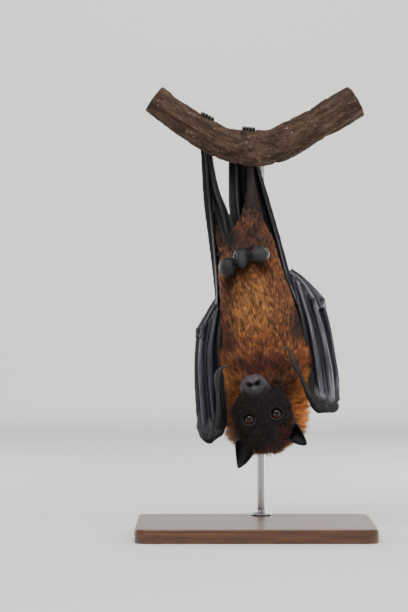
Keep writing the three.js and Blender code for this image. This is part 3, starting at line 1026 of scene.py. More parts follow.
@dataclass(frozen=True)
class Markings:
    """The colours of the fur over the whole bat; a few patches are painted shadow, and one is partly painted
    backlight.
    """

    head: Rgb = (33, 22, 23)
    torso: Rgb = (112, 64, 32)
    arm: Rgb = (112, 62, 30)
    leg: Rgb = (68, 47, 37)
    on_head: tuple[Patch, ...] = (
        Patch((2, 0, -44), (40, 30, 19), (94, 46, 28), 0.85),
        Patch((22, -8, -26), (15, 20, 19), (82, 40, 30), 0.8),
        Patch((32, 2, -14), (8, 16, 26), (78, 40, 28), 0.7),
        Patch((-33, 2, -10), (8, 16, 28), (84, 46, 30), 0.6),
        Patch((-2, -8, 29), (15, 15, 6), (46, 43, 45), 0.75),
        Patch((-2, -16, 12), (8, 9, 12), (27, 23, 21), 0.8),
        Patch((-2.2, -20, -24), (0.8, 9, 7), (84, 72, 76), 0.8),
        Patch((2.2, -20, -22), (0.8, 9, 7), (84, 72, 76), 0.8),
    )
    on_body: tuple[Patch, ...] = (
        Patch((4, 66, 240), (64, 46, 120), (52, 36, 28), 0.95),
        Patch((12, 50, 112), (50, 42, 46), (158, 92, 42), 0.9),
        Patch((-1, -34, 228), (26, 32, 40), (142, 93, 50), 0.95),
        Patch((-30, -10, 236), (12, 34, 42), (88, 52, 34), 0.85),
        Patch((28, -16, 246), (14, 30, 26), (116, 70, 45), 0.8),
        Patch((4, -30, 192), (32, 30, 14), (112, 62, 32), 0.8),
        Patch((6, -26, 168), (34, 32, 13), (66, 27, 16), 0.85),
        Patch((-28, -14, 188), (14, 32, 24), (64, 33, 22), 0.85),
        Patch((38, 8, 276), (12, 30, 26), (96, 54, 36), 0.7),
        Patch((-8, -6, 294), (36, 26, 16), (70, 45, 34), 0.85),
        Patch((-6, -4, 318), (13, 26, 8), (112, 66, 44), 0.7),
        Patch((-37, 4, 298), (9, 26, 20), (96, 62, 38), 0.8),
        Patch((-4, 0, 348), (12, 26, 20), (56, 42, 38), 0.85),
        # Near-black patch on the left thigh between the legs: painted shadow.
        Patch((-25, -10, 302), (8, 26, 18), (18, 13, 14), 1.0),
        Patch((46, -6, 208), (13, 30, 24), (42, 29, 28), 0.85),
        Patch((50, 0, 180), (14, 30, 17), (128, 66, 32), 0.9),
        # Right side of the mantle: its orange is the fur's own, raised further as painted backlight.
        Patch((48, 5, 126), (20, 44, 32), (214, 128, 56), 0.95),
        Patch((-27, 5, 130), (14, 44, 34), (172, 112, 64), 0.9),
        # Dark fur beside the muzzle on the right: painted shadow on the cheek and throat.
        Patch((19, -22, 145), (17, 20, 12), (38, 24, 25), 1.0),
        Patch((-14, -22, 150), (11, 18, 10), (60, 32, 22), 0.7),
    )

    def fur(self, points: Array, zones: Array, head: HeadFrame) -> Array:
        """Finds the colour of the fur.

        Args:
            points: Places on the bat.
            zones: The zone of each.
            head: The head's frame.

        Returns:
            One linear colour for each place.
        """
        tint = np.tile(linear(self.torso), (len(points), 1))
        tint[zones == Zone.ARM] = linear(self.arm)
        tint[zones == Zone.LEG] = linear(self.leg)
        for patch in self.on_body:
            tint = patch.over(points, tint)
        on_head = (zones == Zone.HEAD) | (zones == Zone.LID)
        face = head.into(points[on_head])
        dark = np.tile(linear(self.head), (len(face), 1))
        for patch in self.on_head:
            dark = patch.over(face, dark)
        tint[on_head] = dark
        return tint


# ---- The flesh ----


@dataclass(frozen=True)
class HeadSizes:
    """Rows from the crown to the nose pad: x, y, z, half width, front and back, out to the fur's tips."""

    rows: tuple[tuple[float, ...], ...] = (
        (0, 2, -44.5, 8, 6, 8),
        (0, 1, -41, 17, 12, 13),
        (0, 0, -33, 25, 17, 18),
        (0, 0, -22, 30.5, 19, 21),
        (0, 1, -10, 33, 18.6, 21),
        (0, 3, 0, 32.5, 18, 18.5),
        (0, 5, 8, 30, 18.6, 15),
        (0, 6, 15.5, 23.6, 18.4, 11),
        (0, 4, 23, 16.4, 15.6, 9.5),
        (0, 0, 29.5, 12.8, 11, 10.2),
        (0, -1, 34.5, 10.6, 8.8, 9.6),
        (0, -1, 38.6, 8.4, 7.2, 7),
        (0, -1, 41.4, 5.6, 4.4, 4),
    )
    peak: float = 1.35
    eye_apart: float = 28.0
    eye_height: float = 9.4
    eye_radius: float = 6.2
    fur_at: tuple[float, ...] = (-45, -30, -10, 2, 10, 18, 26, 32)
    fur_depth: tuple[float, ...] = (4.6, 4.8, 4.6, 3.6, 3.0, 1.6, 0.6, 0.0)
    sway: tuple[float, float, float] = (-2.7, 0.0, 1.2)

    def swayed(self, points: Array) -> Array:
        """How far the nose end leans to one side at each point, in the head's frame."""
        return np.array(self.sway) * ease(13, 33, points[:, 2])[:, None]

    def eye(self, side: Side) -> Array:
        """The middle of one eyeball in the head's frame."""
        return np.array([side.value * self.eye_apart / 2, -self.eye_height, 0])

    def gaze(self, side: Side) -> Array:
        """The way that one eye looks in the head's frame."""
        return unit(np.array([side.value * 0.06, -0.9, 0.42]))

    def eye_ring(self, side: Side, turn: Array) -> Array:
        """Directions square to the eye's gaze, one for each angle.

        Args:
            side: Which eye.
            turn: The angles.

        Returns:
            One direction for each.
        """
        gaze = self.gaze(side)
        across = unit(np.cross(gaze, UP))
        return np.cos(turn)[:, None] * np.cross(across, gaze) + np.sin(turn)[:, None] * across


@dataclass
class Head:
    """The skull's flesh with its lips, nostril tubes, lids and ears."""

    sizes: HeadSizes = field(default_factory=HeadSizes)
    frame: HeadFrame = field(default_factory=HeadFrame)
    muzzle_skin: Rgb = (56, 53, 57)
    ear_skin: Rgb = (11, 9, 13)
    lid_skin: Rgb = (24, 20, 21)
    ear_lines: tuple[tuple, ...] = (
        ([21.5, 1, -27], [37.6, -19, -37.2], [0.2, -0.75, 0.7], 9.2),
        ([-17, 0, -27], [-35.8, -4, -56.2], [-0.25, -0.8, 0.5], 10.5),
    )

    def forms(self) -> list[Form]:
        """Makes the head's forms in the model's frame.

        Returns:
            The forms.
        """
        made = [self.skull(), *self.tubes()]
        for form in made:
            form.points = form.points + self.sizes.swayed(form.points)
        made += [*(self.lids(side) for side in Side), *self.ears()]
        return [form.moved(self.frame.axes, np.array(self.frame.at)) for form in made]

    def skull(self) -> Form:
        """Makes the skull, less the depth of its fur.

        Returns:
            The form, in the head's frame.
        """
        rows = np.array(self.sizes.rows, float)
        curve = np.hstack([spline(rows[:, :3], 72), spline(rows[:, 3:], 72)])
        deep = np.interp(curve[:, 2], self.sizes.fur_at, self.sizes.fur_depth)
        shape = curve[:, 3:] - deep[:, None] * np.array([1.0, 0.62, 1.0])
        shape = np.maximum(shape, 1.5)
        path = curve[:, :3].copy()
        path[:, 2] = np.maximum(path[:, 2], rows[0, 2] + 0.8 * deep)
        n = len(path)
        rings = oval_rings(path, np.tile(RIGHT, (n, 1)), np.tile(FRONT, (n, 1)), shape, 128, self.sizes.peak)
        form = loft(rings, Zone.HEAD, self.muzzle_skin, -1)
        form.tint = form.tint * (0.25 + 1.25 * ease(21, 38, form.points[:, 2]))[:, None]
        front = np.clip(-(rings - path[:, None])[..., 1] / np.maximum(shape[:, 1:2], 1), 0, 1)
        depth = (deep[:, None] * (1 - 0.38 * front)).ravel()
        for side in Side:
            near = np.linalg.norm(form.points - self.sizes.eye(side), axis=1)
            depth *= 0.3 + 0.7 * ease(7, 12, near)
        form.depth = depth
        return form

    def tubes(self) -> list[Form]:
        """Makes the short nostril tubes, the pad between them and the lip pads under them.

        Returns:
            The forms, in the head's frame.
        """
        made = []
        for side in Side:
            s = side.value
            tube = [
                [s * 2.6, -3.6, 31.4, 4.0], [s * 4.2, -6.2, 34.8, 4.2], [s * 5.2, -8.0, 37.0, 3.7],
                [s * 5.7, -9.0, 38.4, 3.1],
            ]
            lip = [
                [s * 2.6, 3.0, 40, 2.4], [s * 6.8, 2.2, 37, 2.7], [s * 9.8, 1.4, 32.6, 3.3],
                [s * 11.6, 1.8, 27, 3.4], [s * 12.8, 3.4, 21.5, 2.9], [s * 15.0, 5.2, 14, 2.2],
            ]
            made.append(limb(tube, 16, 28, Zone.HEAD, self.muzzle_skin))
            made.append(limb(lip, 44, 26, Zone.HEAD, self.muzzle_skin))
        made.append(egg([0, -3.6, 37.6], [4.4, 4.6, 3.9], Zone.HEAD, self.muzzle_skin))
        for form in made:
            form.tint = form.tint * (0.5 + 1.2 * ease(14, 37, form.points[:, 2]))[:, None]
        return made

    def lids(self, side: Side) -> Form:
        """Makes the ring of lid round one eyeball.

        Args:
            side: Which eye.

        Returns:
            The form, in the head's frame.
        """
        gaze = self.sizes.gaze(side)
        profile = np.array([
            [4.6, -1.5], [5.9, 2.2], [5.5, 3.35], [5.9, 4.1], [6.8, 3.8], [7.7, 2.7], [9.2, 1.2],
            [11.0, -1.6], [8, -4.5],
        ])
        turn = around(96)
        open_by = 1 + 0.06 * np.sin(turn) ** 2 - 0.07 * np.cos(turn) ** 2
        spread = self.sizes.eye_ring(side, turn)
        rings = (
            self.sizes.eye(side)
            + profile[None, :, 1, None] * gaze
            + (profile[None, :, 0] * open_by[:, None])[..., None] * spread[:, None]
        )
        form = loft(rings, Zone.LID, self.lid_skin)
        s = len(profile)
        last = (len(turn) - 1) * s
        form.faces = form.faces[:-2]
        form.faces += [[last + i, last + (i + 1) % s, (i + 1) % s, i] for i in range(s)]
        # The lid's inner fold is darker and its edge lighter all round, much lighter along its lower side:
        # painted highlight on the wet lid margin.
        margin = np.array([0.4, 0.8, 1.6, 1.2, 0.8, 0.7, 0.6, 0.6, 0.6])
        lower = np.array([0, 1.0, 9.0, 5.0, 1.0, 0, 0, 0, 0])
        low = np.clip(0.15 - np.cos(turn + 0.3 * side.value), 0, 1)
        form.tint = form.tint * (margin + np.outer(low, lower)).ravel()[:, None]
        form.depth = np.tile(np.array([0, 0, 0, 0, 0.5, 0.9, 1.5, 1.6, 1.6]), len(turn))
        form.lie = np.tile(np.array([0, 0.15, -1.0]), (len(form.points), 1))
        return form

    def ears(self) -> list[Form]:
        """Makes both ears."""
        return [self.ear(*line) for line in self.ear_lines]

    def ear(self, root: list[float], tip: list[float], facing: list[float], wide: float) -> Form:
        """Makes a cupped, pointed ear with fine ribs across its inside and a painted highlight along its
        rims.

        Args:
            root: The middle of its base.
            tip: Its point.
            facing: The way it opens.
            wide: Half its width.

        Returns:
            The form, in the head's frame.
        """
        start, end = np.array(root, float), np.array(tip, float)
        length = float(np.linalg.norm(end - start))
        along = (end - start) / length
        opening = np.array(facing, float)
        opening = unit(opening - along * (opening @ along))
        across = np.cross(along, opening)
        t = np.linspace(0, 1, 46)[:, None]
        half = wide * np.minimum(1, 0.75 + t) * np.maximum(1 - t**1.9, 0) ** 0.85 + 0.7
        wrap = 2.5 + (0.7 - 2.5) * t**0.8
        turn = wrap * np.linspace(-1, 1, 56)[None, :]
        radius = half / np.sin(np.minimum(wrap, np.pi / 2))
        ribs = 0.22 * np.sin(t * length * 2.4) * np.cos(turn / wrap * np.pi / 2)
        middle = (
            start
            + (along * length) * t[..., None]
            + (radius * np.sin(turn))[..., None] * across
            + (radius * (1 - np.cos(turn)) - 0.55 * radius + ribs)[..., None] * opening
        )
        rim = np.abs(turn / wrap)
        # Rims lighter than the inside: painted highlight along the ear's rims.
        shade = linear(self.ear_skin) * (0.7 + 0.9 * rim[..., None] ** 6)
        return thicken(middle, np.full(rim.shape, 0.72) + 0.2 * rim**8, Zone.EAR, shade)


@dataclass(frozen=True)
class TorsoSizes:
    """Rows from the nape up to the rump: x, y, z, half width, front and back, out to the fur's tips."""

    rows: tuple[tuple[float, ...], ...] = (
        (5.5, 3, 83.5, 9, 6, 8),
        (8, 6, 92, 24, 13, 18),
        (11, 10, 106, 35.5, 20, 27),
        (11.6, 13, 130, 40, 25, 33),
        (12.8, 13, 158, 43.4, 35, 35),
        (11, 12, 184, 45, 41, 35),
        (7, 11, 214, 42.5, 40, 35),
        (1.5, 11, 244, 38, 37, 34),
        (-4.6, 12, 274, 33.5, 31, 29),
        (-5.5, 13, 302, 26, 23, 22),
        (-5, 15, 321, 16, 14, 14),
        (-5, 17, 329, 8, 6, 6),
    )
    fur_at: tuple[float, ...] = (84, 110, 150, 185, 230, 270, 320)
    fur_depth: tuple[float, ...] = (7.0, 8.5, 7.5, 5.0, 4.4, 4.0, 3.4)
    fringe: float = 4.5


@dataclass
class Torso:
    """The neck and trunk, with the bare scrotum."""

    sizes: TorsoSizes = field(default_factory=TorsoSizes)
    bare: Rgb = (30, 30, 33)

    def forms(self) -> list[Form]:
        """Makes the torso's forms.

        Returns:
            The forms.
        """
        rows = np.array(self.sizes.rows, float)
        curve = np.hstack([spline(rows[:, :3], 170), spline(rows[:, 3:], 170)])
        deep = np.interp(curve[:, 2], self.sizes.fur_at, self.sizes.fur_depth)
        shape = np.maximum(curve[:, 3:] - deep[:, None], 2)
        path = curve[:, :3].copy()
        low, high = rows[0, 2], rows[-1, 2] - 1
        path[:, 2] = np.clip(path[:, 2], low + 0.8 * deep[0], high - 0.8 * deep[-1])
        n = len(path)
        rings = oval_rings(path, np.tile(RIGHT, (n, 1)), np.tile(FRONT, (n, 1)), shape, 160)
        body = loft(rings, Zone.TORSO, (60, 45, 40))
        turn = around(160)
        long = ease(88, 104, curve[:, 2]) * ease(190, 165, curve[:, 2])
        body.depth = (deep[:, None] + self.sizes.fringe * np.outer(long, np.cos(turn) ** 4)).ravel()
        return [body, *self.scrotum()]

    def scrotum(self) -> list[Form]:
        """Makes the two lobes, the bridge behind them and the sheath between them.

        Returns:
            The forms.
        """
        at = Zone.SCROTUM
        return [
            egg([-28.3, -20, 275], [9.2, 9, 10.4], at, (25, 24, 26)),
            egg([4.1, -20, 288.4], [10.4, 9, 8.2], at, (42, 41, 42)),
            limb([[-26, -15, 279, 5], [-14, -16, 285, 6, 6], [0, -15, 288, 5]], 26, 40, at, self.bare),
            limb([
                [-15, -13, 289.6, 7], [-14.6, -20.5, 287, 8, 7.4], [-14, -26.6, 281, 6.2, 5.6],
                [-13.8, -29.4, 275.8, 3.6], [-13.8, -29.9, 273.8, 1.8],
            ], 34, 36, at, self.bare),
        ]


@dataclass(frozen=True)
class WingSizes:
    """One folded wing: the long bones of the hand, the finger ends, the forearm, the thumb and its claw."""

    shoulder: list[float]
    elbow: list[float]
    wrist: list[float]
    palm: Rows
    hand: list[Ridge]
    fingers: list[Ridge]
    tips: list[Ridge]
    thumb: Rows
    claw: Rows
    flank: list[Ridge]
    tail: list[Ridge]
    finish: MembraneFinish = MembraneFinish()
    heel: tuple[list[float], list[float]] | None = None


RIGHT_WING = WingSizes(
    shoulder=[50, 14, 176],
    elbow=[40, 46, 268],
    wrist=[72.5, -3, 138.5],
    palm=[
        [75.4, -2, 126.4, 2, 2],
        [74.8, -3, 129, 8.4, 5.5],
        [73, -4, 133, 13.4, 7.2],
        [71.8, -4, 138, 16, 7.6],
        [72, -3, 145, 15, 6],
        [72.5, -1, 154, 11.5, 3.4],
        [72, 1, 166, 7, 1.2],
    ],
    hand=[
        Ridge([
            [61, 4, 133], [57.6, 6, 145], [56.4, 4, 160], [54.8, 3, 180], [50, 4, 212], [39, 14, 267],
        ], (1.3, 0.9), 4),
        Ridge([
            [70.6, -6.5, 131], [68.6, -9, 145], [65.4, -10, 166], [61.8, -9, 190], [56, -6, 220],
            [44, 7, 261],
        ], (1.9, 1.2), 4),
        Ridge([
            [76.4, -6.6, 130], [79, -10.4, 144], [77, -13, 168], [73.2, -13, 190], [68.2, -10, 213],
            [59.6, -4, 241],
        ], (2.2, 1.7), 9),
        Ridge([
            [80.4, -1.5, 136], [85.2, -2, 144], [85.2, 0, 160], [81.8, 3, 184], [77.6, 6, 211],
            [70.6, 10, 241],
        ], (2.4, 2.1)),
    ],
    fingers=[
        Ridge([[63, -7, 232], [60.6, -4, 239], [51, 9, 256], [42, 24, 267.5], [36, 38, 272]], (2.1, 1.3), 6),
        Ridge([[72.6, 7, 234], [71, 12, 242.6], [60.6, 24, 255.4], [49, 36, 267], [40, 48, 274]], (2.4, 1.4)),
    ],
    tips=[
        Ridge([[37, 53, 272], [48, 51, 245], [57, 40, 205], [62, 27, 170]], (1.5, 0.9), 3),
        Ridge([[45, 47, 270], [57, 42, 245], [67, 31, 208], [71, 20, 178]], (1.5, 0.9)),
    ],
    thumb=[
        [61, -8, 138, 5, 4.4], [55.4, -14, 145.5, 4.0, 3.8], [50.6, -18.6, 155, 2.6, 2.7],
        [43.6, -26.2, 169, 2.1, 2.3], [39.4, -29.7, 177, 2.8, 2.9], [38.4, -30.3, 179.6, 1.7, 1.8],
    ],
    claw=[[38.8, -30, 178], [35.4, -32.6, 187], [31.4, -32.6, 193], [28, -29.4, 197.5]],
    flank=[
        Ridge([
            [-6, 28, 388], [0, 30, 345], [12, 27, 305], [22, 24, 265], [34, 18, 232], [43, 14, 200],
        ], (1, 0.8), 1),
        Ridge([
            [-4, 24, 390], [5, 25, 345], [20.5, 25, 305], [31, 21, 265], [43, 15, 232], [51, 11, 205],
        ], (1, 0.8), 3),
        Ridge([
            [0, 17, 389], [11.6, 19, 345], [23, 19, 305], [32.5, 16, 268], [44.5, 9, 235], [52.5, 6, 205],
        ], (1.2, 0.9), 4),
        Ridge([
            [2, 20, 388], [15.8, 23, 345], [26.6, 25, 307], [35, 25, 275], [46, 20, 236], [55, 14, 208],
        ], (1.6, 1.2)),
    ],
    tail=[
        Ridge([[-26.8, 17, 391], [-27, 13, 362], [-26.4, 10, 336], [-20, 9, 306]], (1.1, 0.8), 3),
        Ridge([[-19, 16, 393], [-18.6, 12, 362], [-17, 8, 336], [-12, 8, 304]], (1.1, 0.8), 3),
        Ridge([[-11, 22, 394], [-9, 22, 362], [-6, 20, 336], [-4, 14, 306]], (1.2, 0.9), 2),
        Ridge([[-6, 26, 392], [-3, 30, 362], [0, 30, 336], [2, 22, 308]], (1.2, 0.9)),
    ],
    # Lighter colours and a pale start near the wrist: painted light where the right wing is lit.
    finish=MembraneFinish((10, 10, 13), (66, 66, 73), (78, 78, 85), 1.8),
    heel=([79.2, -2.6, 133], [7.6, 5.4, 7.2]),
)

LEFT_WING = WingSizes(
    shoulder=[-24, 14, 166],
    elbow=[-36, 45, 242],
    wrist=[-43.5, -2, 107.5],
    palm=[
        [-45, -1, 94.8, 1.6, 2],
        [-46, -2, 97.4, 6, 5],
        [-46.4, -3, 102, 11, 7],
        [-45.6, -3, 109, 14.6, 7.6],
        [-46, -2, 119, 14, 5.6],
        [-47, 0, 131, 11, 3],
        [-48, 2, 145, 6.6, 1.2],
    ],
    hand=[
        Ridge([
            [-33.6, 4, 106], [-29.4, 6, 114], [-29, 5, 132], [-32, 4, 160], [-35, 5, 196], [-33, 14, 240],
        ], (1.3, 0.9), 4),
        Ridge([
            [-42, -6, 100], [-41.6, -8, 113], [-44, -8.6, 138], [-46, -8, 166], [-46, -5, 194],
            [-39, 6, 233],
        ], (1.7, 1.2), 3.5),
        Ridge([
            [-48, -6.4, 99], [-51.4, -9.4, 112], [-54.4, -10.6, 138], [-56, -9.6, 163], [-56.2, -7, 186],
            [-53.4, -1.4, 213],
        ], (1.9, 1.6), 5),
        Ridge([
            [-53, -1, 101], [-57.6, 0, 113], [-60, 1, 138], [-61, 4, 163], [-60.6, 7, 186], [-59, 10, 210],
        ], (2.2, 2.0)),
    ],
    fingers=[
        Ridge([
            [-55.4, -5, 203], [-54, -1.4, 210], [-46.4, 9, 225], [-38, 22, 240], [-30, 36, 250],
        ], (2.0, 1.3), 4),
        Ridge([
            [-59.8, 8, 203], [-58.6, 12, 211], [-50.6, 24, 226], [-41.6, 36, 241], [-33, 49, 252],
        ], (2.3, 1.4)),
    ],
    tips=[
        Ridge([[-31, 54, 246], [-40, 50, 216], [-46, 38, 182], [-47, 24, 148]], (1.5, 0.9), 3),
        Ridge([[-40, 48, 245], [-49, 42, 216], [-54, 31, 184], [-54, 19, 154]], (1.5, 0.9)),
    ],
    thumb=[
        [-39.4, -7, 112, 4.8, 4.2], [-37.8, -12, 122, 3.7, 3.5], [-37.4, -16.6, 136, 3.0, 3.0],
        [-38.2, -21, 152, 3.1, 3.1], [-38.4, -22.6, 162, 4.0, 3.9], [-36.8, -23.6, 169, 3.3, 3.2],
        [-35.4, -24, 171.6, 1.8, 1.8],
    ],
    claw=[[-35.8, -23.9, 170.6], [-33.6, -26.2, 173.6], [-30.6, -27.6, 174.2], [-27.6, -26.6, 172.6]],
    flank=[
        Ridge([
            [-46, 27, 396], [-41, 31, 345], [-33, 27, 303], [-33, 25, 262], [-33, 21, 225], [-33, 17, 186],
        ], (1, 0.8), 1),
        Ridge([
            [-46, 23, 400], [-39.5, 23, 345], [-38, 24, 303], [-39.2, 25, 262], [-41.5, 22, 225],
            [-41.5, 16, 190],
        ], (1, 0.8), 3),
        Ridge([
            [-51, 16, 400], [-46.4, 17, 345], [-42, 17, 303], [-38.6, 17, 262], [-38, 14, 228],
            [-40, 9, 190],
        ], (1.1, 0.8), 3),
        Ridge([
            [-55.4, 20, 400], [-52.6, 22, 345], [-47.4, 24, 305], [-42.2, 26, 265], [-39.6, 22, 232],
            [-43, 14, 190],
        ], (1.4, 1.1)),
    ],
    tail=[
        Ridge([
            [-45, 18, 400], [-42.4, 16, 380], [-35.6, 13, 353], [-28, 10, 334], [-20, 9, 306],
        ], (1.1, 0.8), 3),
        Ridge([
            [-47.4, 16, 400], [-45.4, 15, 380], [-41, 12, 355], [-34, 10, 334], [-27, 9, 304],
        ], (1.1, 0.8), 2),
        Ridge([[-49, 21, 400], [-47.8, 23, 380], [-45, 24, 355], [-41, 20, 334], [-33, 14, 306]], (1.2, 0.9)),
    ],
    # Darker colours than the right wing's on the same skin: painted shade on the left wing.
    finish=MembraneFinish((9, 9, 12), (42, 42, 49), (56, 56, 64)),
)


@dataclass
class Wing:
    """One folded wing with its arm, thumb and the body membranes of its side."""

    side: Side
    sizes: WingSizes
    skin: Rgb = (34, 33, 36)
    body_skin: MembraneFinish = MembraneFinish((6, 6, 8), (25, 24, 28), (34, 33, 37))

    def forms(self) -> list[Form]:
        """Makes the wing's forms.

        Returns:
            The forms.
        """
        s = self.sizes
        return [
            self.upper_arm(),
            self.forearm(),
            self.wrist(),
            limb(s.thumb, 60, 26, Zone.THUMB, self.skin),
            *([egg(*s.heel, Zone.WRIST, self.skin)] if s.heel else []),
            membrane(s.hand, 110, 30, crimp=0.9, finish=s.finish),
            *(egg(ridge.path[-1], [2.5, 2.8, 4.0], Zone.WRIST, self.skin) for ridge in s.hand[2:]),
            membrane(s.fingers, 46, 30, crimp=0.8, finish=s.finish),
            membrane(s.tips, 90, 22, crimp=0.8),
            membrane(s.flank, 150, 18, crimp=0.8, folds=3.4, finish=self.body_skin),
            membrane(s.tail, 70, 20, crimp=0.85, folds=3.4, finish=self.body_skin),
        ]

    def between(self, start: list[float], share: float) -> list[float]:
        """A point on the line from start to the elbow."""
        return [a + (b - a) * share for a, b in zip(start, self.sizes.elbow)]

    def upper_arm(self) -> Form:
        """Makes the furred upper arm, less the depth of its fur.

        Returns:
            The form.
        """
        from_ = self.sizes.shoulder
        sizes = [(0.02, 4, 5), (0.08, 7, 8), (0.25, 9, 10), (0.6, 7, 7.5), (0.92, 5.4, 6)]
        form = limb([[*self.between(from_, t), a, b] for t, a, b in sizes], 70, 48, Zone.ARM, (60, 45, 40))
        form.depth = 3.4 - 1.6 * form.along
        return form

    def forearm(self) -> Form:
        """Makes the forearm.

        Returns:
            The form.
        """
        sizes = [(0.03, 4.4, 4.4), (0.3, 4.0, 4.2), (0.7, 5.2, 6.0), (0.93, 5.8, 6.4), (1.02, 4.2, 4.4)]
        rows = [[*self.between(self.sizes.wrist, t), a, b] for t, a, b in sizes]
        return limb(rows, 90, 30, Zone.FOREARM, self.skin)

    def wrist(self) -> Form:
        """Makes the blunt wrist, darker towards its end.

        Returns:
            The form.
        """
        form = limb(self.sizes.palm, 50, 60, Zone.WRIST, self.skin)
        form.tint = form.tint * (0.45 + 1.5 * form.along)[:, None]
        return form

    def thumb_claw(self) -> Form:
        """Makes the thumb's claw."""
        return claw(self.sizes.claw, 2.1)


def claw(line: Rows, radius: float) -> Form:
    """Makes a hooked claw that tapers to a point.

    Args:
        line: Points along it.
        radius: Its radius at the root.

    Returns:
        The form.
    """
    last = len(line) - 1
    rows = [
        [*at, radius * (1 - 0.86 * i / last), radius * (1.15 - 0.98 * i / last)] for i, at in enumerate(line)
    ]
    return limb(rows, 30, 16, Zone.THUMB, (20, 18, 18))


@dataclass(frozen=True)
class LegSizes:
    """One leg and the place of its grip on the branch."""

    leg: Rows
    foot: float
    perch: float
    grip: float
    slope: float
    inner: Rows = field(default_factory=list)


RIGHT_LEG = LegSizes(
    leg=[
        [-2, 12, 292, 15, 14], [1, 26, 312, 13, 13], [1, 36, 332, 9, 9], [-2, 32, 355, 5.4, 5.4],
        [-5, 27, 380, 4.4, 4.4], [-6.4, 26, 394, 4.4, 4.2],
    ],
    foot=-6.4,
    perch=398,
    grip=17.2,
    slope=-0.1,
    inner=[
        [-4, 4, 296, 12, 11], [-4, 6, 314, 12, 10], [-3.2, 9, 330, 9, 8], [-3, 12, 345, 6.8, 6],
        [-4, 15, 362, 5, 4.6], [-5.2, 19, 384, 4, 4],
    ],
)
LEFT_LEG = LegSizes(
    leg=[
        [-24, 14, 290, 13, 13], [-32, 27, 312, 11, 11.5], [-39, 36, 334, 8, 8], [-43, 32, 360, 5.2, 5.2],
        [-47.4, 27, 388, 4.4, 4.4], [-48.7, 25.5, 404, 4.4, 4.2],
    ],
    foot=-48.7,
    perch=412.4,
    grip=15.6,
    slope=-0.52,
)


@dataclass
class Leg:
    """One leg, its foot and its five hooked toes."""

    side: Side
    sizes: LegSizes
    skin: Rgb = (30, 28, 30)
    toes: int = 5

    def over_branch(self, degrees: float, lift: float, spread: float = 0.0) -> list[float]:
        """A point round the branch: 0 degrees is its back and 90 its top.

        Args:
            degrees: The angle.
            lift: How far off the bark.
            spread: How far along the branch.

        Returns:
            The point.
        """
        turn = math.radians(degrees)
        radius = self.sizes.grip + lift
        height = self.sizes.perch + radius * math.sin(turn) + self.sizes.slope * spread
        return [self.sizes.foot + spread, radius * math.cos(turn), height]

    def toe_line(self, toe: int, start: float, end: float, lift: float, count: int = 4) -> Rows:
        """Points along one toe or claw, from one angle round the branch to another.

        Args:
            toe: Which toe.
            start: The first angle.
            end: The last angle.
            lift: How far off the bark.
            count: How many points.

        Returns:
            The points.
        """
        turns = [start + (end - start) * i / (count - 1) for i in range(count)]
        offset = toe - (self.toes - 1) / 2
        return [self.over_branch(d, lift, offset * (1.6 + 1.8 * d / 130)) for d in turns]

    def forms(self) -> list[Form]:
        """Makes the leg, the sole and the toes.

        Returns:
            The forms.
        """
        rows = [[x, y, z, a - d, b - d] for (x, y, z, a, b), d in zip(self.sizes.leg, (3, 3, 2, 1, 0.4, 0))]
        leg = limb(rows, 90, 44, Zone.LEG, (60, 50, 46))
        leg.depth = np.interp(leg.along, [0, 0.3, 0.62, 0.8, 1], [3.2, 3.0, 1.8, 0.9, 0])
        sole = limb([
            [*self.over_branch(-24, 9.8), 4.2, 4.0], [*self.over_branch(4, 7.6), 5.6, 3.8],
            [*self.over_branch(27, 6.4), 6.4, 3.2], [*self.over_branch(44, 5.6), 5.6, 2.4],
        ], 30, 40, Zone.FOOT, self.skin)
        return [leg, sole, *self.inner_thigh(), *(self.toe(i) for i in range(self.toes))]

    def inner_thigh(self) -> list[Form]:
        """Makes the flesh in front of the leg, furred below and bare above.

        Returns:
            One form, or none.
        """
        if not self.sizes.inner:
            return []
        form = limb(self.sizes.inner, 70, 40, Zone.LEG, (50, 43, 44))
        form.depth = np.interp(form.along, [0, 0.35, 0.5, 0.66, 0.85], [3.4, 3.0, 1.5, 0.6, 0])
        return [form]

    def toe(self, index: int) -> Form:
        """Makes one toe with two swollen joints.

        Args:
            index: Which toe.

        Returns:
            The form.
        """
        line = self.toe_line(index, 34, 86, 4.4, 7)
        sizes = (2.0, 2.25, 1.85, 2.1, 1.75, 1.85, 1.3)
        return limb([[*at, r] for at, r in zip(line, sizes)], 36, 18, Zone.FOOT, self.skin, RIGHT)

    def claws(self) -> list[Form]:
        """Makes the toes' claws.

        Returns:
            One form for each toe.
        """
        made = []
        for toe in range(self.toes):
            line = self.toe_line(toe, 84, 122, 4.1)
            made.append(claw([[x, y, z - 0.35 * i**2] for i, (x, y, z) in enumerate(line)], 1.5))
        return made


# ---- The one skin ----


@dataclass(frozen=True)
class Groove:
    """A dent pressed into the skin along a line: how deep, and how wide to each side."""

    line: Rows
    depth: float
    width: float

    @property
    def pair(self) -> tuple["Groove", "Groove"]:
        """The dent and its mirror image on the other side of the face."""
        return self, Groove([[-x, y, z] for x, y, z in self.line], self.depth, self.width)


@dataclass(frozen=True)
class Pit:
    """A hole pushed straight into the skin: its mouth, the way in, its half widths and its depth."""

    at: tuple[float, float, float]
    into: tuple[float, float, float]
    size: tuple[float, float]
    depth: float

    def share(self, points: Array) -> Array:
        """How far each point lies inside the hole, from 0 to 1.

        Args:
            points: The places.

        Returns:
            One share for each.
        """
        way = unit(np.array(self.into, float))
        side = unit(np.cross(way, UP))
        off = points - np.array(self.at)
        inward = off @ way
        flat = np.hypot(off @ side / self.size[0], off @ np.cross(side, way) / self.size[1])
        return np.exp(-(flat**4)) * ease(self.depth + 3.5, self.depth + 1.5, np.abs(inward))


@dataclass
class Surface:
    """The finished skin as arrays: corners, triangles, normals and what each corner knows."""

    points: Array
    triangles: Array
    normals: Array
    zones: Array
    across: Array
    along: Array
    span: Array
    lie: Array
    depth: Array
    fur: Array
    tint: Array


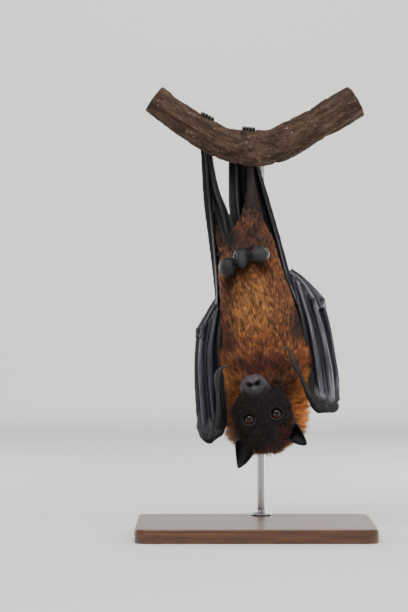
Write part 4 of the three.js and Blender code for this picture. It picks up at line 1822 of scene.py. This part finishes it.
@dataclass
class Skin:
    """One unbroken skin over all of the bat's flesh."""

    forms: list[Form]
    head: Head
    markings: Markings
    voxel: float = 0.7
    budget: int = 190_000
    face_grooves: tuple[Groove, ...] = (
        Groove([[0, -10, 33], [0, -8.6, 37.4], [0, -3, 41.4], [0, 2, 41.8]], 1.3, 0.9),
        *Groove([
            [0, 5.8, 40], [4.6, 5.2, 38], [7.8, 5, 33], [9.8, 5.4, 27], [12.2, 6.6, 20], [16, 8, 12],
        ], 1.6, 0.9).pair,
        *Groove([[9.6, -12, 8.5], [6.5, -13, 14], [5.2, -13, 20]], 1.1, 1.5).pair,
        *Groove([[6.4, -8.6, 29], [8.4, -5.4, 30.6], [9.6, -1.4, 31.4]], 0.7, 0.8).pair,
    )
    nostrils: tuple[Pit, ...] = (
        Pit((6.2, -10.8, 38.2), (-0.4, 0.7, -0.5), (3.6, 2.7), 6.5),
        Pit((-6.2, -10.8, 38.2), (0.4, 0.7, -0.5), (3.6, 2.7), 6.5),
    )
    body_grooves: tuple[Groove, ...] = (
        Groove([[-13.8, -34, 280], [-13.8, -34.4, 276.5], [-13.8, -32, 274]], 1.6, 0.9),
        Groove([[-21.4, -26, 287], [-20.6, -27, 281], [-19.8, -25, 273]], 1.6, 1.2),
        Groove([[-6.4, -25, 295], [-6.0, -27, 289], [-6.8, -25, 282]], 1.6, 1.2),
    )

    def build(self) -> Surface:
        """Makes the skin and settles it in place of the flesh nodes.

        Returns:
            The finished skin, for the coat to grow on.
        """
        points, faces = joined(self.forms)
        thing = mesh_of("bat_skin", points, faces)
        remesh = thing.modifiers.new("one_skin", "REMESH")
        remesh.mode = "VOXEL"
        remesh.voxel_size = self.voxel * MM
        self.apply(thing)
        self.smooth(thing.data)
        self.dent(thing.data)
        budget = self.budget * 1
        count = sum(len(p.vertices) - 2 for p in thing.data.polygons)
        if count > budget:
            thin = thing.modifiers.new("thin", "DECIMATE")
            thin.ratio = budget / count
            self.apply(thing)
        surface = self.know(thing.data)
        self.dress(thing, surface)
        return surface

    @staticmethod
    def apply(thing: Object) -> None:
        """Turns an object's modifiers into its own mesh.

        Args:
            thing: The object.
        """
        graph = bpy.context.evaluated_depsgraph_get()
        mesh = bpy.data.meshes.new_from_object(thing.evaluated_get(graph))
        thing.modifiers.clear()
        thing.data = mesh

    @staticmethod
    def corners(mesh: Mesh, what: str = "co") -> Array:
        """Where the mesh's corners are in metres, or what else the mesh says of them.

        Args:
            mesh: The mesh.
            what: What to read.

        Returns:
            One row for each corner.
        """
        flat = np.empty(len(mesh.vertices) * 3, np.float32)
        mesh.vertices.foreach_get(what, flat)
        return flat.reshape(-1, 3).astype(float)

    @staticmethod
    def move(mesh: Mesh, points: Array) -> None:
        """Moves the mesh's corners to points in millimetres."""
        mesh.vertices.foreach_set("co", (points * MM).astype(np.float32).ravel())
        mesh.update()

    @staticmethod
    def evened(mesh: Mesh, values: Array, rates: list[float]) -> Array:
        """Moves each corner's values towards its neighbours' mean, once for each rate.

        Args:
            mesh: The mesh.
            values: One row for each corner.
            rates: How far to move them each time.

        Returns:
            The new values.
        """
        ends = np.empty(len(mesh.edges) * 2, np.int32)
        mesh.edges.foreach_get("vertices", ends)
        a, b = ends.reshape(-1, 2).T
        n = len(values)
        count = np.maximum(np.bincount(a, minlength=n) + np.bincount(b, minlength=n), 1)
        for rate in rates:
            sums = [np.bincount(a, v[b], n) + np.bincount(b, v[a], n) for v in values.T]
            values = values + rate * (np.stack(sums, axis=-1) / count[:, None] - values)
        return values

    def smooth(self, mesh: Mesh, rounds: int = 12) -> None:
        """Takes the voxel steps out without shrinking thin parts."""
        self.move(mesh, self.evened(mesh, self.corners(mesh) / MM, [0.5, -0.52] * rounds))

    def dent(self, mesh: Mesh) -> None:
        """Presses the nostrils, the mouth and the folds into the skin.

        Args:
            mesh: The skin's mesh.
        """
        p = self.corners(mesh) / MM
        normals = self.corners(mesh, "normal")
        face = self.head.frame.into(p)
        face = face - self.head.sizes.swayed(face)
        shift = np.zeros(len(p))
        for place, grooves in ((face, self.face_grooves), (p, self.body_grooves)):
            for groove in grooves:
                line = spline(groove.line, 24)
                low, high = line.min(axis=0) - 5, line.max(axis=0) + 5
                near = np.flatnonzero(np.all((place > low) & (place < high), axis=1))
                if not len(near):
                    continue
                away = np.linalg.norm(place[near][:, None] - line[None], axis=2).min(axis=1)
                press = groove.depth * np.exp(-((np.maximum(away - 0.5, 0) / groove.width) ** 2))
                shift[near] = np.maximum(shift[near], press)
        p = p - normals * shift[:, None]
        for pit in self.nostrils:
            way = unit(np.array(pit.into)) @ self.head.frame.axes
            facing = ease(-0.25, 0.25, -(normals @ way))
            p = p + way * (pit.depth * pit.share(face) * facing)[:, None]
        self.move(mesh, p)

    def know(self, mesh: Mesh) -> Surface:
        """Finds for each corner which form it came from, and what that form knows there.

        Args:
            mesh: The skin's mesh.

        Returns:
            The skin as arrays.
        """
        p = self.corners(mesh) / MM
        normals = self.corners(mesh, "normal")
        mesh.calc_loop_triangles()
        triangles = np.empty(len(mesh.loop_triangles) * 3, np.int32)
        mesh.loop_triangles.foreach_get("vertices", triangles)
        sources = np.vstack([form.points for form in self.forms])
        tree = KDTree(len(sources))
        for i, at in enumerate(sources.tolist()):
            tree.insert(at, i)
        tree.balance()
        nearest = np.array([tree.find(at)[1] for at in p.tolist()])

        def gather(name: str) -> Array:
            """Reads one of the forms' arrays at each corner."""
            return np.concatenate([getattr(form, name) for form in self.forms])[nearest]

        source = np.repeat(np.arange(len(self.forms)), [len(form.points) for form in self.forms])[nearest]
        zones = np.array([int(form.zone) for form in self.forms])[source]
        span = np.array([form.span for form in self.forms])[source]
        lie = self.comb(p, gather("lie"), zones)
        return Surface(
            points=p,
            triangles=triangles.reshape(-1, 3),
            normals=normals,
            zones=zones,
            across=gather("across"),
            along=gather("along"),
            span=span,
            lie=unit(lie - normals * np.sum(lie * normals, axis=1, keepdims=True)),
            depth=gather("depth"),
            fur=self.markings.fur(p, zones, self.head.frame),
            tint=self.evened(mesh, gather("tint"), [0.5] * 3),
        )

    def comb(self, points: Array, lie: Array, zones: Array) -> Array:
        """Turns the mantle's hair outwards from the head, as a ruff.

        Args:
            points: The corners.
            lie: The way their hair lies.
            zones: The zone of each.

        Returns:
            The new way.
        """
        middle = np.array([8.0, 2.0, 132.0])
        outwards = unit(points - middle)
        outwards[:, 2] = outwards[:, 2] * 0.35 + 0.25
        share = ease(176, 140, points[:, 2]) * (zones == Zone.TORSO)
        return lie * (1 - share[:, None]) + unit(outwards) * share[:, None]

    def dress(self, thing: Object, surface: Surface) -> None:
        """Gives the skin its colours, its material and its place.

        Args:
            thing: The skin.
            surface: The same skin as arrays.
        """
        # Skin under the coat takes the fur's colour at 0.45: darker hair roots, and painted shade between the
        # tufts.
        furred = np.clip(surface.depth / 1.2, 0, 1)[:, None]
        tint = surface.tint * (1 - furred) + surface.fur * 0.45 * furred
        face = self.head.frame.into(surface.points)
        face = face - self.head.sizes.swayed(face)
        # The nostrils are darkened almost to black: painted shade inside them.
        for pit in self.nostrils:
            tint = tint * (1 - 0.98 * pit.share(face) ** 0.7)[:, None]
        wing = np.isin(surface.zones, [Zone.WING, Zone.FOREARM, Zone.WRIST, Zone.THUMB]).astype(float)
        fold = np.column_stack([surface.across, surface.along, np.zeros(len(tint))])
        fold[:, :2] *= surface.span
        fold = self.evened(thing.data, fold, [0.5] * 4)
        note(thing.data, "hide_tint", tint)
        note(thing.data, "wing", wing)
        note(thing.data, "fold", fold)
        thing.data.polygons.foreach_set("use_smooth", np.ones(len(thing.data.polygons), bool))
        pairs = ["ear", "upper_arm", "forearm", "wrist", "hand", "fingers", "wing_tip", "thumb"]
        pairs += ["flank_membrane", "tail_membrane", "leg", "foot"]
        nodes = [f"{name}_{side.word}" for name in pairs for side in Side]
        settle(thing, [HideFinish().material()], Slot.WING_SKIN, "head", "neck", "trunk", "scrotum", *nodes)


# ---- The coat ----


@dataclass(frozen=True)
class CoatPart:
    """One piece of the coat: which skin it grows from, how many tufts, and their shape."""

    name: str
    zones: tuple[Zone, ...]
    turn: tuple[float, float]
    heights: tuple[float, float]
    tufts: int
    slant: float
    width: float
    nodes: tuple[str, ...]

    @property
    def halves(self) -> tuple["CoatPart", "CoatPart"]:
        """The part on the bat's right, and its mirror image on the left."""
        turn = (1 - self.turn[1], 1 - self.turn[0])
        return replace(self, name=f"{self.name}_right"), replace(self, name=f"{self.name}_left", turn=turn)


@dataclass
class Coat:
    """Solid tufts of hair over the skin, in several pieces, with gold and grey ones among them and pale tips
    on the mantle's sides as painted backlight.
    """

    surface: Surface
    head: Head
    gold: Rgb = (206, 150, 84)
    # The pale tip colour is painted backlight on the mantle's fringe.
    pale: Rgb = (226, 178, 118)
    grey: Rgb = (120, 104, 96)
    parts: tuple[CoatPart, ...] = (
        *CoatPart("coat_belly", (Zone.TORSO,), (0.25, 0.5), (152, 400), 19_900, 25, 0.7, ("trunk",)).halves,
        *CoatPart("coat_back", (Zone.TORSO,), (0.0, 0.25), (152, 400), 13_500, 24, 0.95, ("trunk",)).halves,
        *CoatPart("coat_mantle", (Zone.TORSO,), (0.0, 0.5), (0, 152), 13_500, 34, 0.78, ("neck",)).halves,
        *CoatPart(
            "coat_head", (Zone.HEAD, Zone.LID), (0.0, 0.5), (0, 400), 15_500, 27, 0.6, ("head",)
        ).halves,
        CoatPart(
            "coat_limbs", (Zone.ARM, Zone.LEG), (0.0, 1.0), (0, 500), 13_000, 24, 0.74,
            ("upper_arm_left", "upper_arm_right", "leg_left", "leg_right"),
        ),
    )

    def build(self) -> None:
        """Grows every part of the coat."""
        finish = HairFinish().material()
        for index, part in enumerate(self.parts):
            self.grow(part, np.random.default_rng(100 + index), finish)

    def roots(self, part: CoatPart, rng: np.random.Generator) -> tuple[Array, Array]:
        """Chooses where the tufts of one part grow.

        Args:
            part: The part of the coat.
            rng: Random numbers.

        Returns:
            The triangle of each root, and its shares of that triangle's corners.
        """
        s = self.surface
        tri = s.triangles
        first = tri[:, 0]
        turn = (s.across[first] + 0.25) % 1
        high = s.points[first, 2]
        depth = s.depth[tri].mean(axis=1)
        inside = np.isin(s.zones[first], [int(z) for z in part.zones])
        inside &= (turn >= part.turn[0]) & (turn < part.turn[1] + 1e-9)
        inside &= (high >= part.heights[0]) & (high < part.heights[1]) & (depth > 0.25)
        a, b, c = (s.points[tri[:, k]] for k in range(3))
        area = np.linalg.norm(np.cross(b - a, c - a), axis=1) / 2
        weight = area * inside * (1 + 2.2 * np.exp(-depth / 1.2))
        total = np.cumsum(weight)
        count = part.tufts
        picks = (np.arange(count) + rng.random(count)) / count * total[-1]
        chosen = np.minimum(np.searchsorted(total, picks), len(tri) - 1)
        u, v = rng.random((2, count))
        flip = u + v > 1
        u[flip], v[flip] = 1 - u[flip], 1 - v[flip]
        return chosen, np.stack([1 - u - v, u, v], axis=-1)

    def grow(self, part: CoatPart, rng: np.random.Generator, finish: Material) -> None:
        """Grows one part of the coat and settles it.

        Args:
            part: The part.
            rng: Random numbers.
            finish: The hair's material.
        """
        s = self.surface
        chosen, shares = self.roots(part, rng)
        corners = s.triangles[chosen]
        known = (s.points, s.normals, s.lie, s.depth, s.fur)
        root, normal, lie, depth, tint = (
            np.einsum("nk,nk...->n...", shares, values[corners]) for values in known
        )
        normal, lie = unit(normal), unit(lie)
        n = len(root)
        zone = s.zones[corners[:, 0]]
        side = np.cross(normal, lie)
        stray = rng.normal(0, 0.12, n) + 0.3 * speckle(root, 8, 3) + 0.16 * speckle(root, 2.6, 9)
        lie = unit(lie + side * stray[:, None])
        side = unit(np.cross(normal, lie))
        rise = depth * rng.uniform(0.5, 1.08, n)
        reach = depth / math.tan(math.radians(part.slant)) * rng.uniform(0.75, 1.15, n)
        tip = root + lie * reach[:, None] + normal * rise[:, None]
        tip, lock = self.clump(root, tip, rng)
        clear = self.clear_of_ears(tip) | (zone != Zone.TORSO)
        kept = (root, normal, lie, side, tip, rise, reach, lock, tint, zone, depth, corners)
        root, normal, lie, side, tip, rise, reach, lock, tint, zone, depth, corners = (a[clear] for a in kept)
        n = len(root)
        grown = tip - root
        middle = root + lie * (0.46 * reach)[:, None] + normal * (0.62 * rise)[:, None]
        middle = 0.5 * middle + 0.5 * (root + 0.5 * grown + normal * (0.12 * rise)[:, None])
        scale = 1
        wide = (
            part.width * np.clip(0.4 + 0.2 * depth, 0.4, 1) * rng.uniform(0.6, 1.15, n) * scale**0.5
        )[:, None]
        thick = wide * 0.42
        base = root - normal * 0.35
        columns = np.stack(
            [
                base - side * wide * 0.5, base + side * wide * 0.5, base + normal * thick,
                middle - side * wide * 0.42, middle + side * wide * 0.42, middle + normal * thick, tip,
            ],
            axis=1,
        )
        order = [
            [0, 2, 1], [0, 1, 4], [0, 4, 3], [1, 2, 5], [1, 5, 4], [2, 0, 3], [2, 3, 5], [3, 4, 6],
            [4, 5, 6], [5, 3, 6],
        ]
        faces = (np.arange(n)[:, None, None] * 7 + np.array(order)[None]).reshape(-1, 3)
        thing = mesh_of(part.name, columns.reshape(-1, 3), faces)
        note(thing.data, "hair_tint", self.colours(root, tint, zone, lock, rng))
        self.unwrap(thing.data, part, corners[:, 0], faces)
        settle(thing, [finish], Slot.FUR, *part.nodes)

    def clear_of_ears(self, tip: Array, gap: float = 10.5) -> Array:
        """Finds which tips stay out of the cups of the ears.

        Args:
            tip: The tips.
            gap: How far they stay from the middle of an ear.

        Returns:
            True for each that does.
        """
        face = self.head.frame.into(tip)
        clear = np.ones(len(tip), bool)
        for root, end, *_ in self.head.ear_lines:
            start, way = np.array(root, float), np.array(end, float) - np.array(root, float)
            share = np.clip((face - start) @ way / (way @ way), 0.3, 1)
            near = np.linalg.norm(face - start - share[:, None] * way, axis=1) < gap * (1.15 - 0.7 * share)
            clear &= ~near
        return clear

    @staticmethod
    def clump(root: Array, tip: Array, rng: np.random.Generator, locks: int = 9) -> tuple[Array, Array]:
        """Draws the tips of neighbouring tufts together into locks.

        Args:
            root: The roots.
            tip: Where the tips would be.
            rng: Random numbers.
            locks: How many tufts make a lock.

        Returns:
            The tips, and a random number from 0 to 1 that a whole lock shares.
        """
        seeds = rng.choice(len(root), max(len(root) // locks, 1), replace=False)
        tree = KDTree(len(seeds))
        for i in seeds.tolist():
            tree.insert(root[i], i)
        tree.balance()
        seed = np.array([tree.find(at)[1] for at in root.tolist()])
        pull = rng.uniform(0.25, 0.65, len(root))[seed][:, None]
        return tip + (tip[seed] - tip) * pull, rng.random(len(root))[seed]

    def colours(self, root: Array, tint: Array, zone: Array, lock: Array, rng: np.random.Generator) -> Array:
        """Colours each tuft: dark at its root, lighter at its tip, and a few pale ones, whose paleness at the
        mantle's sides is painted backlight.

        Args:
            root: The roots.
            tint: The fur's colour at each.
            zone: The zone of each.
            lock: A random number that a whole lock shares.
            rng: Random numbers.

        Returns:
            A colour for each of a tuft's seven corners.
        """
        n = len(root)
        vary = 0.24 + 1.5 * lock + 0.2 * rng.normal(size=n) + 0.16 * speckle(root, 5, 12)
        vary += (zone == Zone.HEAD) * 1.1 * (lock**4 - 0.2)
        vary = vary.clip(0.2, 2.8)[:, None]
        tip = tint * vary * 1.2
        body = np.isin(zone, [Zone.TORSO, Zone.ARM])
        gold = ((lock > 0.86) & (root[:, 1] < 10) & (root[:, 2] < 285)) * body * rng.uniform(0.15, 0.6, n)
        gold = gold * ease(0.06, 0.2, tint[:, 0])
        tip = tip + (linear(self.gold) - tip) * gold[:, None]
        # Pale tips at the mantle's sides: painted backlight glow on the fringe.
        rim = ease(24, 38, np.abs(root[:, 0] - 10)) * ease(168, 138, root[:, 2]) * body
        pale = (rim * rng.uniform(0.1, 0.9, n))[:, None]
        tip = tip + (linear(self.pale) - tip) * pale
        grey = ((rng.random(n) < 0.02) & (zone == Zone.HEAD))[:, None]
        tip = np.where(grey, linear(self.grey), tip)
        # Mantle tufts below z 150 get a lighter ramp: painted backlight where the mantle is lit from behind.
        ramp = np.array([0.22, 0.22, 0.22, 0.75, 0.75, 0.75, 1.1])
        painted_backlight_ramp = np.array([0.5, 0.5, 0.5, 0.95, 0.95, 0.95, 1.15])
        deep = (ease(150, 130, root[:, 2]) * body)[:, None]
        ramp = ramp * (1 - deep) + painted_backlight_ramp * deep
        return (tip[:, None] * ramp[..., None]).reshape(-1, 3)

    def unwrap(self, mesh: Mesh, part: CoatPart, root: Array, faces: Array) -> None:
        """Lays each tuft as a small patch at its root's place on the unwrapped skin.

        Args:
            mesh: The tufts' mesh.
            part: The part of the coat.
            root: The skin's corner under each tuft.
            faces: The tufts' triangles.
        """
        s = self.surface
        turn, along = (s.across[root] + 0.25) % 1, s.along[root]
        if Zone.LEG in part.zones:
            leg, left = s.zones[root] == Zone.LEG, s.points[root, 0] < 0
            turn, along = (turn + left) / 2, (along + leg) / 2
        place = np.stack([turn, along], axis=-1)
        low, high = place.min(axis=0), place.max(axis=0)
        place = 0.004 + 0.988 * (place - low) / (high - low)
        patch = np.array([[0, 0], [1, 0], [0.5, 0.1], [0, 0.6], [1, 0.6], [0.5, 0.7], [0.5, 1]])
        uv = (place[:, None] + (patch - 0.5)[None] * 0.003).reshape(-1, 2)
        layer = mesh.uv_layers.new(name="OFBake")
        layer.data.foreach_set("uv", uv[faces.ravel()].astype(np.float32).ravel())


# ---- Eyes and claws ----


@dataclass
class Eye:
    """One eyeball with a raised cornea."""

    side: Side
    head: Head
    bulge: float = 0.55

    def build(self) -> None:
        """Makes the eye and settles it."""
        sizes = self.head.sizes
        gaze = sizes.gaze(self.side)
        down = np.linspace(0.02, np.pi - 0.02, 64)
        turn = around(64)
        radius = sizes.eye_radius - 0.35 + self.bulge * ease(0.95, 0.2, down)
        spread = sizes.eye_ring(self.side, turn)
        rings = (
            sizes.eye(self.side)
            + (radius * np.cos(down))[:, None, None] * gaze
            + (radius * np.sin(down))[:, None, None] * spread[None]
        )
        form = loft(rings, Zone.LID, (0, 0, 0)).moved(self.head.frame.axes, np.array(self.head.frame.at))
        thing = mesh_of(f"eyeball_{self.side.word}", form.points, form.faces)
        flat = np.sin(down) / math.sin(1.02) + 2 * (down > 1.4)
        place = np.stack([
            np.outer(flat, np.cos(turn)), np.outer(flat, np.sin(turn)), np.zeros((64, 64)),
        ], axis=-1)
        note(thing.data, "iris_place", place.reshape(-1, 3))
        settle(thing, [EyeFinish().material()], Slot.EYE, f"eye_{self.side.word}")


@dataclass
class Claws:
    """The claws of the thumbs and the toes."""

    wings: list[Wing]
    legs: list[Leg]

    def build(self) -> None:
        """Makes a piece for each thumb claw and for each foot's claws."""
        horn = HornFinish().material()
        for wing in self.wings:
            form = wing.thumb_claw()
            thing = mesh_of(f"thumb_hook_{wing.side.word}", form.points, form.faces)
            settle(thing, [horn], Slot.CLAW, f"thumb_claw_{wing.side.word}")
        for leg in self.legs:
            thing = mesh_of(f"toe_hooks_{leg.side.word}", *joined(leg.claws()))
            nodes = [f"toe_claw_{leg.side.word}_{i + 1}" for i in range(leg.toes)]
            settle(thing, [horn], Slot.CLAW, *nodes)


# ---- The perch and the stand ----


@dataclass(frozen=True)
class Knot:
    """A low knot on the branch: where along, which way round, and how high."""

    at: float
    turn: float
    height: float


@dataclass
class Perch:
    """A cut length of branch with cracked bark and two sawn ends."""

    rows: Rows = field(
        default_factory=lambda: [
            [-104, 4, 448.5, 14.6],
            [-71, 2, 425, 14.8],
            [-42, 0, 408.3, 15.8],
            [-20.6, 0, 399.8, 17],
            [-2, 0, 397.6, 17.6],
            [21, 1, 401, 17],
            [50.5, 4, 416.6, 16.6],
            [76, 6, 431, 17],
            [104, 8, 447.5, 17.4],
        ]
    )
    knots: tuple[Knot, ...] = (Knot(0.24, 2.2, 4), Knot(0.8, 4.6, 4))
    length: float = 250.0
    radius: float = 17.0
    rings: int = 260
    sides: int = 150

    def build(self) -> None:
        """Makes the branch and settles it."""
        rows = np.array(self.rows, float)
        t = np.linspace(0, 1, self.rings)
        path, radius = spline(rows[:, :3], self.rings), spline(rows[:, [3, 3]], self.rings)[:, 0]
        along = unit(np.gradient(path, axis=0))
        side = unit(np.cross(along, FRONT))
        front = unit(np.cross(side, along))
        turn = around(self.sides)
        round_it = (self.radius * np.cos(turn), self.radius * np.sin(turn))
        flat = np.stack(np.broadcast_arrays(self.length * t[:, None], *round_it), axis=-1)
        reach = radius[:, None] + self.relief(flat.reshape(-1, 3), t, turn)
        ring = (
            path[:, None]
            + (reach * np.cos(turn))[..., None] * side[:, None]
            + (reach * np.sin(turn))[..., None] * front[:, None]
        )
        shrink = [0.985, 0.9, 0.6, 0.3, 0.02]
        starts = [path[0] + (ring[0] - path[0]) * s - along[0] * 0.5 for s in shrink]
        ends = [path[-1] + (ring[-1] - path[-1]) * s + along[-1] * 0.5 for s in shrink]
        rings = np.concatenate([np.array(starts[::-1]), ring, np.array(ends)])
        form = loft(rings, Zone.TORSO, (0, 0, 0))
        thing = mesh_of("branch", form.points, form.faces)
        gap = len(shrink)
        stretch = np.concatenate([flat[:1].repeat(gap, 0), flat, flat[-1:].repeat(gap, 0)])
        stretch[..., 0] /= 3.2
        note(thing.data, "bark_place", stretch.reshape(-1, 3))
        middles = np.concatenate([path[:1].repeat(gap, 0), path, path[-1:].repeat(gap, 0)])
        note(thing.data, "ring", np.linalg.norm(rings - middles[:, None], axis=2).ravel())
        face = np.arange(len(thing.data.polygons)) // self.sides
        sawn = (face < gap - 1) | (face > gap + self.rings - 1)
        thing.data.polygons.foreach_set("material_index", sawn.astype(np.int32))
        settle(thing, [BarkFinish().material(), CutWoodFinish().material()], Slot.BARK, "perch")

    def relief(self, flat: Array, t: Array, turn: Array) -> Array:
        """Finds how far the bark rises at each point.

        Args:
            flat: The points on a straightened branch.
            t: Shares along it.
            turn: Angles round it.

        Returns:
            Heights, as rings × sides.
        """
        waver = 0.7 * np.sin(3 * turn + 9 * t[:, None]) + 0.5 * np.sin(5 * turn - 17 * t[:, None])
        for knot in self.knots:
            off = np.hypot((t[:, None] - knot.at) / 0.06, np.sin((turn - knot.turn) / 2) / 0.28)
            waver = waver + knot.height * np.exp(-(off**2)) * (1 - 0.5 * np.exp(-((off / 0.35) ** 2)))
        long = flat * np.array([0.3, 1, 1])
        ridges = 1 - 2 * np.abs(speckle(long, 5.2, 21))
        lumps = speckle(flat, 15, 22)
        crack = np.clip(np.abs(speckle(long + 40, 7.5, 23)) / 0.16, 0, 1)
        grit = speckle(flat, 1.7, 24)
        rise = 0.75 * ridges + 0.9 * lumps + 0.3 * grit - 1.3 * (1 - crack)
        return waver + rise.reshape(waver.shape)


@dataclass
class Stand:
    """A flat board with rounded corners, and a bent steel rod with a small collar."""

    width: float = 244.0
    depth: float = 164.0
    thickness: float = 14.0
    corner: float = 12.0
    bevel: float = 1.8
    rod_radius: float = 4.0
    rod_at: tuple[float, float] = (8.0, 66.0)
    rod_height: float = 399.0
    bend: float = 20.0
    rod_end: float = 4.0
    corner_points: int = 14

    def build(self) -> None:
        """Makes the board and the rod and settles them."""
        self.board()
        self.rod()

    def outline(self, inset: float) -> Array:
        """The board's outline, drawn in by an inset.

        Args:
            inset: How far to draw it in.

        Returns:
            The points, without their heights.
        """
        corner = max(self.corner - inset, 0.6)
        x, y = self.width / 2 - inset - corner, self.depth / 2 - inset - corner
        turn = np.linspace(0, np.pi / 2, self.corner_points)
        quarters = []
        for k, (sx, sy) in enumerate([(1, 1), (-1, 1), (-1, -1), (1, -1)]):
            bow = turn + k * np.pi / 2
            quarters.append(np.stack([sx * x + corner * np.cos(bow), sy * y + corner * np.sin(bow)], axis=-1))
        return np.vstack(quarters)

    def board(self) -> None:
        """Makes the board."""
        turns = np.linspace(0, np.pi / 2, 7)
        side = [
            (self.bevel * (1 - math.cos(a)), self.thickness - self.bevel * (1 - math.sin(a))) for a in turns
        ]
        steps = [
            (30.0, 0.0), (2.0, 0.0), (0.6, 0.0), (0.0, 0.6), *side, (3.0, self.thickness),
            (30.0, self.thickness),
        ]
        sides = 4 * self.corner_points
        rings = np.array([np.column_stack([self.outline(i), np.full(sides, z)]) for i, z in steps])
        form = loft(rings, Zone.TORSO, (0, 0, 0))
        thing = mesh_of("base_board", form.points, form.faces)
        rub = [0, 0, 0, 0.2, 0.1, 0.4, 0.8, 1.0, 0.8, 0.5, 0.2, 0.0, 0.0]
        note(thing.data, "edge", np.repeat(np.array(rub, float), sides))
        settle(thing, [BoardFinish().material()], Slot.BASE_WOOD, "stand_base")

    def rod(self) -> None:
        """Makes the rod with its collar."""
        x, y = self.rod_at
        start = self.rod_height - self.bend
        turns = np.linspace(0, np.pi / 2, 24)
        line = [[x, y, z, 0.0] for z in np.linspace(self.thickness + 0.3, start, 40)]
        line += [
            [x, y - self.bend * (1 - math.cos(a)), start + self.bend * math.sin(a), a] for a in turns[1:]
        ]
        line.append([x, self.rod_end, self.rod_height, math.pi / 2])
        rows = np.array(line)
        fore = np.stack([np.zeros(len(rows)), np.cos(rows[:, 3]), np.sin(rows[:, 3])], axis=-1)
        sizes = np.full((len(rows), 3), self.rod_radius)
        rod = loft(
            oval_rings(rows[:, :3], np.tile(RIGHT, (len(rows), 1)), fore, sizes, 40), Zone.TORSO, (0, 0, 0)
        )
        profile = [
            (4.1, 0.2), (11.0, 0.2), (11.4, 0.6), (11.4, 1.8), (10.8, 2.4), (6.4, 3.0), (5.6, 3.8),
            (5.2, 5.6), (4.6, 6.2), (4.05, 6.3),
        ]
        rings = np.array([[x, y, self.thickness + h] + circle(56) * r for r, h in profile])
        collar = loft(rings, Zone.TORSO, (0, 0, 0))
        thing = mesh_of("bent_rod", *joined([rod, collar]))
        settle(thing, [SteelFinish().material()], Slot.ROD_STEEL, "stand_rod")


# ---- The studio ----


@dataclass(frozen=True)
class Lamp:
    """A square soft light: its place and aim in metres, its width in metres, its power and its warmth."""

    name: str
    at: tuple[float, float, float]
    width: float
    power: float
    tone: Rgb = (255, 255, 255)
    aim: tuple[float, float, float] = (0.0, 0.0, 0.22)


@dataclass
class Studio:
    """A pale floor, soft lights and the camera."""

    distance: float = 2.2
    centre: tuple[float, float] = (-0.0525, 0.2358)
    frame_height: float = 0.6304
    lamps: tuple[Lamp, ...] = (
        Lamp("key_light", (-0.6, -1.3, 1.8), 0.75, 25, (255, 250, 242)),
        Lamp("top_light", (0.1, -0.7, 1.55), 0.7, 12, (250, 252, 255)),
        Lamp("fill_light", (1.6, -1.0, 0.9), 1.0, 11, (244, 248, 255)),
        Lamp("rim_light", (0.7, 1.2, 0.75), 0.8, 8, (255, 250, 240)),
        Lamp("left_rim_light", (-1.1, 0.9, 0.5), 0.8, 11, (250, 252, 255)),
        Lamp("low_rim_light", (0.75, 0.8, 0.1), 0.4, 7, (255, 250, 240), (0.03, 0.0, 0.12)),
        Lamp("wall_light", (0.0, 2.9, 2.6), 2.4, 85, aim=(0.0, 5.0, 0.6)),
    )

    def build(self) -> None:
        """Sets up the floor, the lights and the camera."""
        self.floor()
        for lamp in self.lamps:
            self.light(lamp)
        world = bpy.data.worlds.new("pale_room")
        world.use_nodes = True
        world.node_tree.nodes["Background"].inputs["Color"].default_value = (0.84, 0.87, 0.9, 1)
        world.node_tree.nodes["Background"].inputs["Strength"].default_value = 0.52
        bpy.context.scene.world = world
        self.camera()

    def floor(self) -> None:
        """Makes a round floor that curves up into a wall."""
        sweep = [(1, 0), (1600, 0), (3300, 0), (4300, 160), (4900, 700), (5100, 1500), (5100, 3200)]
        rings = np.array([circle(96) * r + UP * (z - 0.4) for r, z in spline(sweep, 60)])
        form = loft(rings, Zone.TORSO, (0, 0, 0))
        thing = mesh_of("floor", form.points, form.faces[:-2])
        thing.data.materials.append(FloorFinish().material())

    def light(self, lamp: Lamp) -> None:
        """Adds one soft light.

        Args:
            lamp: The lamp.
        """
        data = bpy.data.lights.new(lamp.name, "AREA")
        data.size = lamp.width
        data.energy = lamp.power
        data.color = tuple(float(c) for c in linear(lamp.tone))
        thing = bpy.data.objects.new(lamp.name, data)
        thing.location = lamp.at
        thing.rotation_euler = (Vector(lamp.aim) - Vector(lamp.at)).to_track_quat("-Z", "Y").to_euler()
        bpy.context.scene.collection.objects.link(thing)

    def camera(self) -> None:
        """Sets a level camera square to the belly."""
        data = bpy.data.cameras.new("camera")
        data.sensor_width = 36
        data.lens = 36 * self.distance / self.frame_height
        thing = bpy.data.objects.new("camera", data)
        thing.location = (self.centre[0], -self.distance, self.centre[1])
        thing.rotation_euler = (math.pi / 2, 0, 0)
        bpy.context.scene.collection.objects.link(thing)
        bpy.context.scene.camera = thing


def main() -> None:
    """Builds the bat, its perch and its stand."""
    logging.basicConfig(level=logging.INFO, format="%(message)s")
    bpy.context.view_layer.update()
    head, torso, markings = Head(), Torso(), Markings()
    wings = [Wing(Side.RIGHT, RIGHT_WING), Wing(Side.LEFT, LEFT_WING)]
    legs = [Leg(Side.RIGHT, RIGHT_LEG), Leg(Side.LEFT, LEFT_LEG)]
    forms = [*head.forms(), *torso.forms()]
    for limbs in (*wings, *legs):
        forms += limbs.forms()
    surface = Skin(forms, head, markings).build()
    Coat(surface, head).build()
    for side in Side:
        Eye(side, head).build()
    Claws(wings, legs).build()
    Perch().build()
    Stand().build()
    Studio().build()
    bpy.context.view_layer.update()


if __name__ == "__main__":
    main()
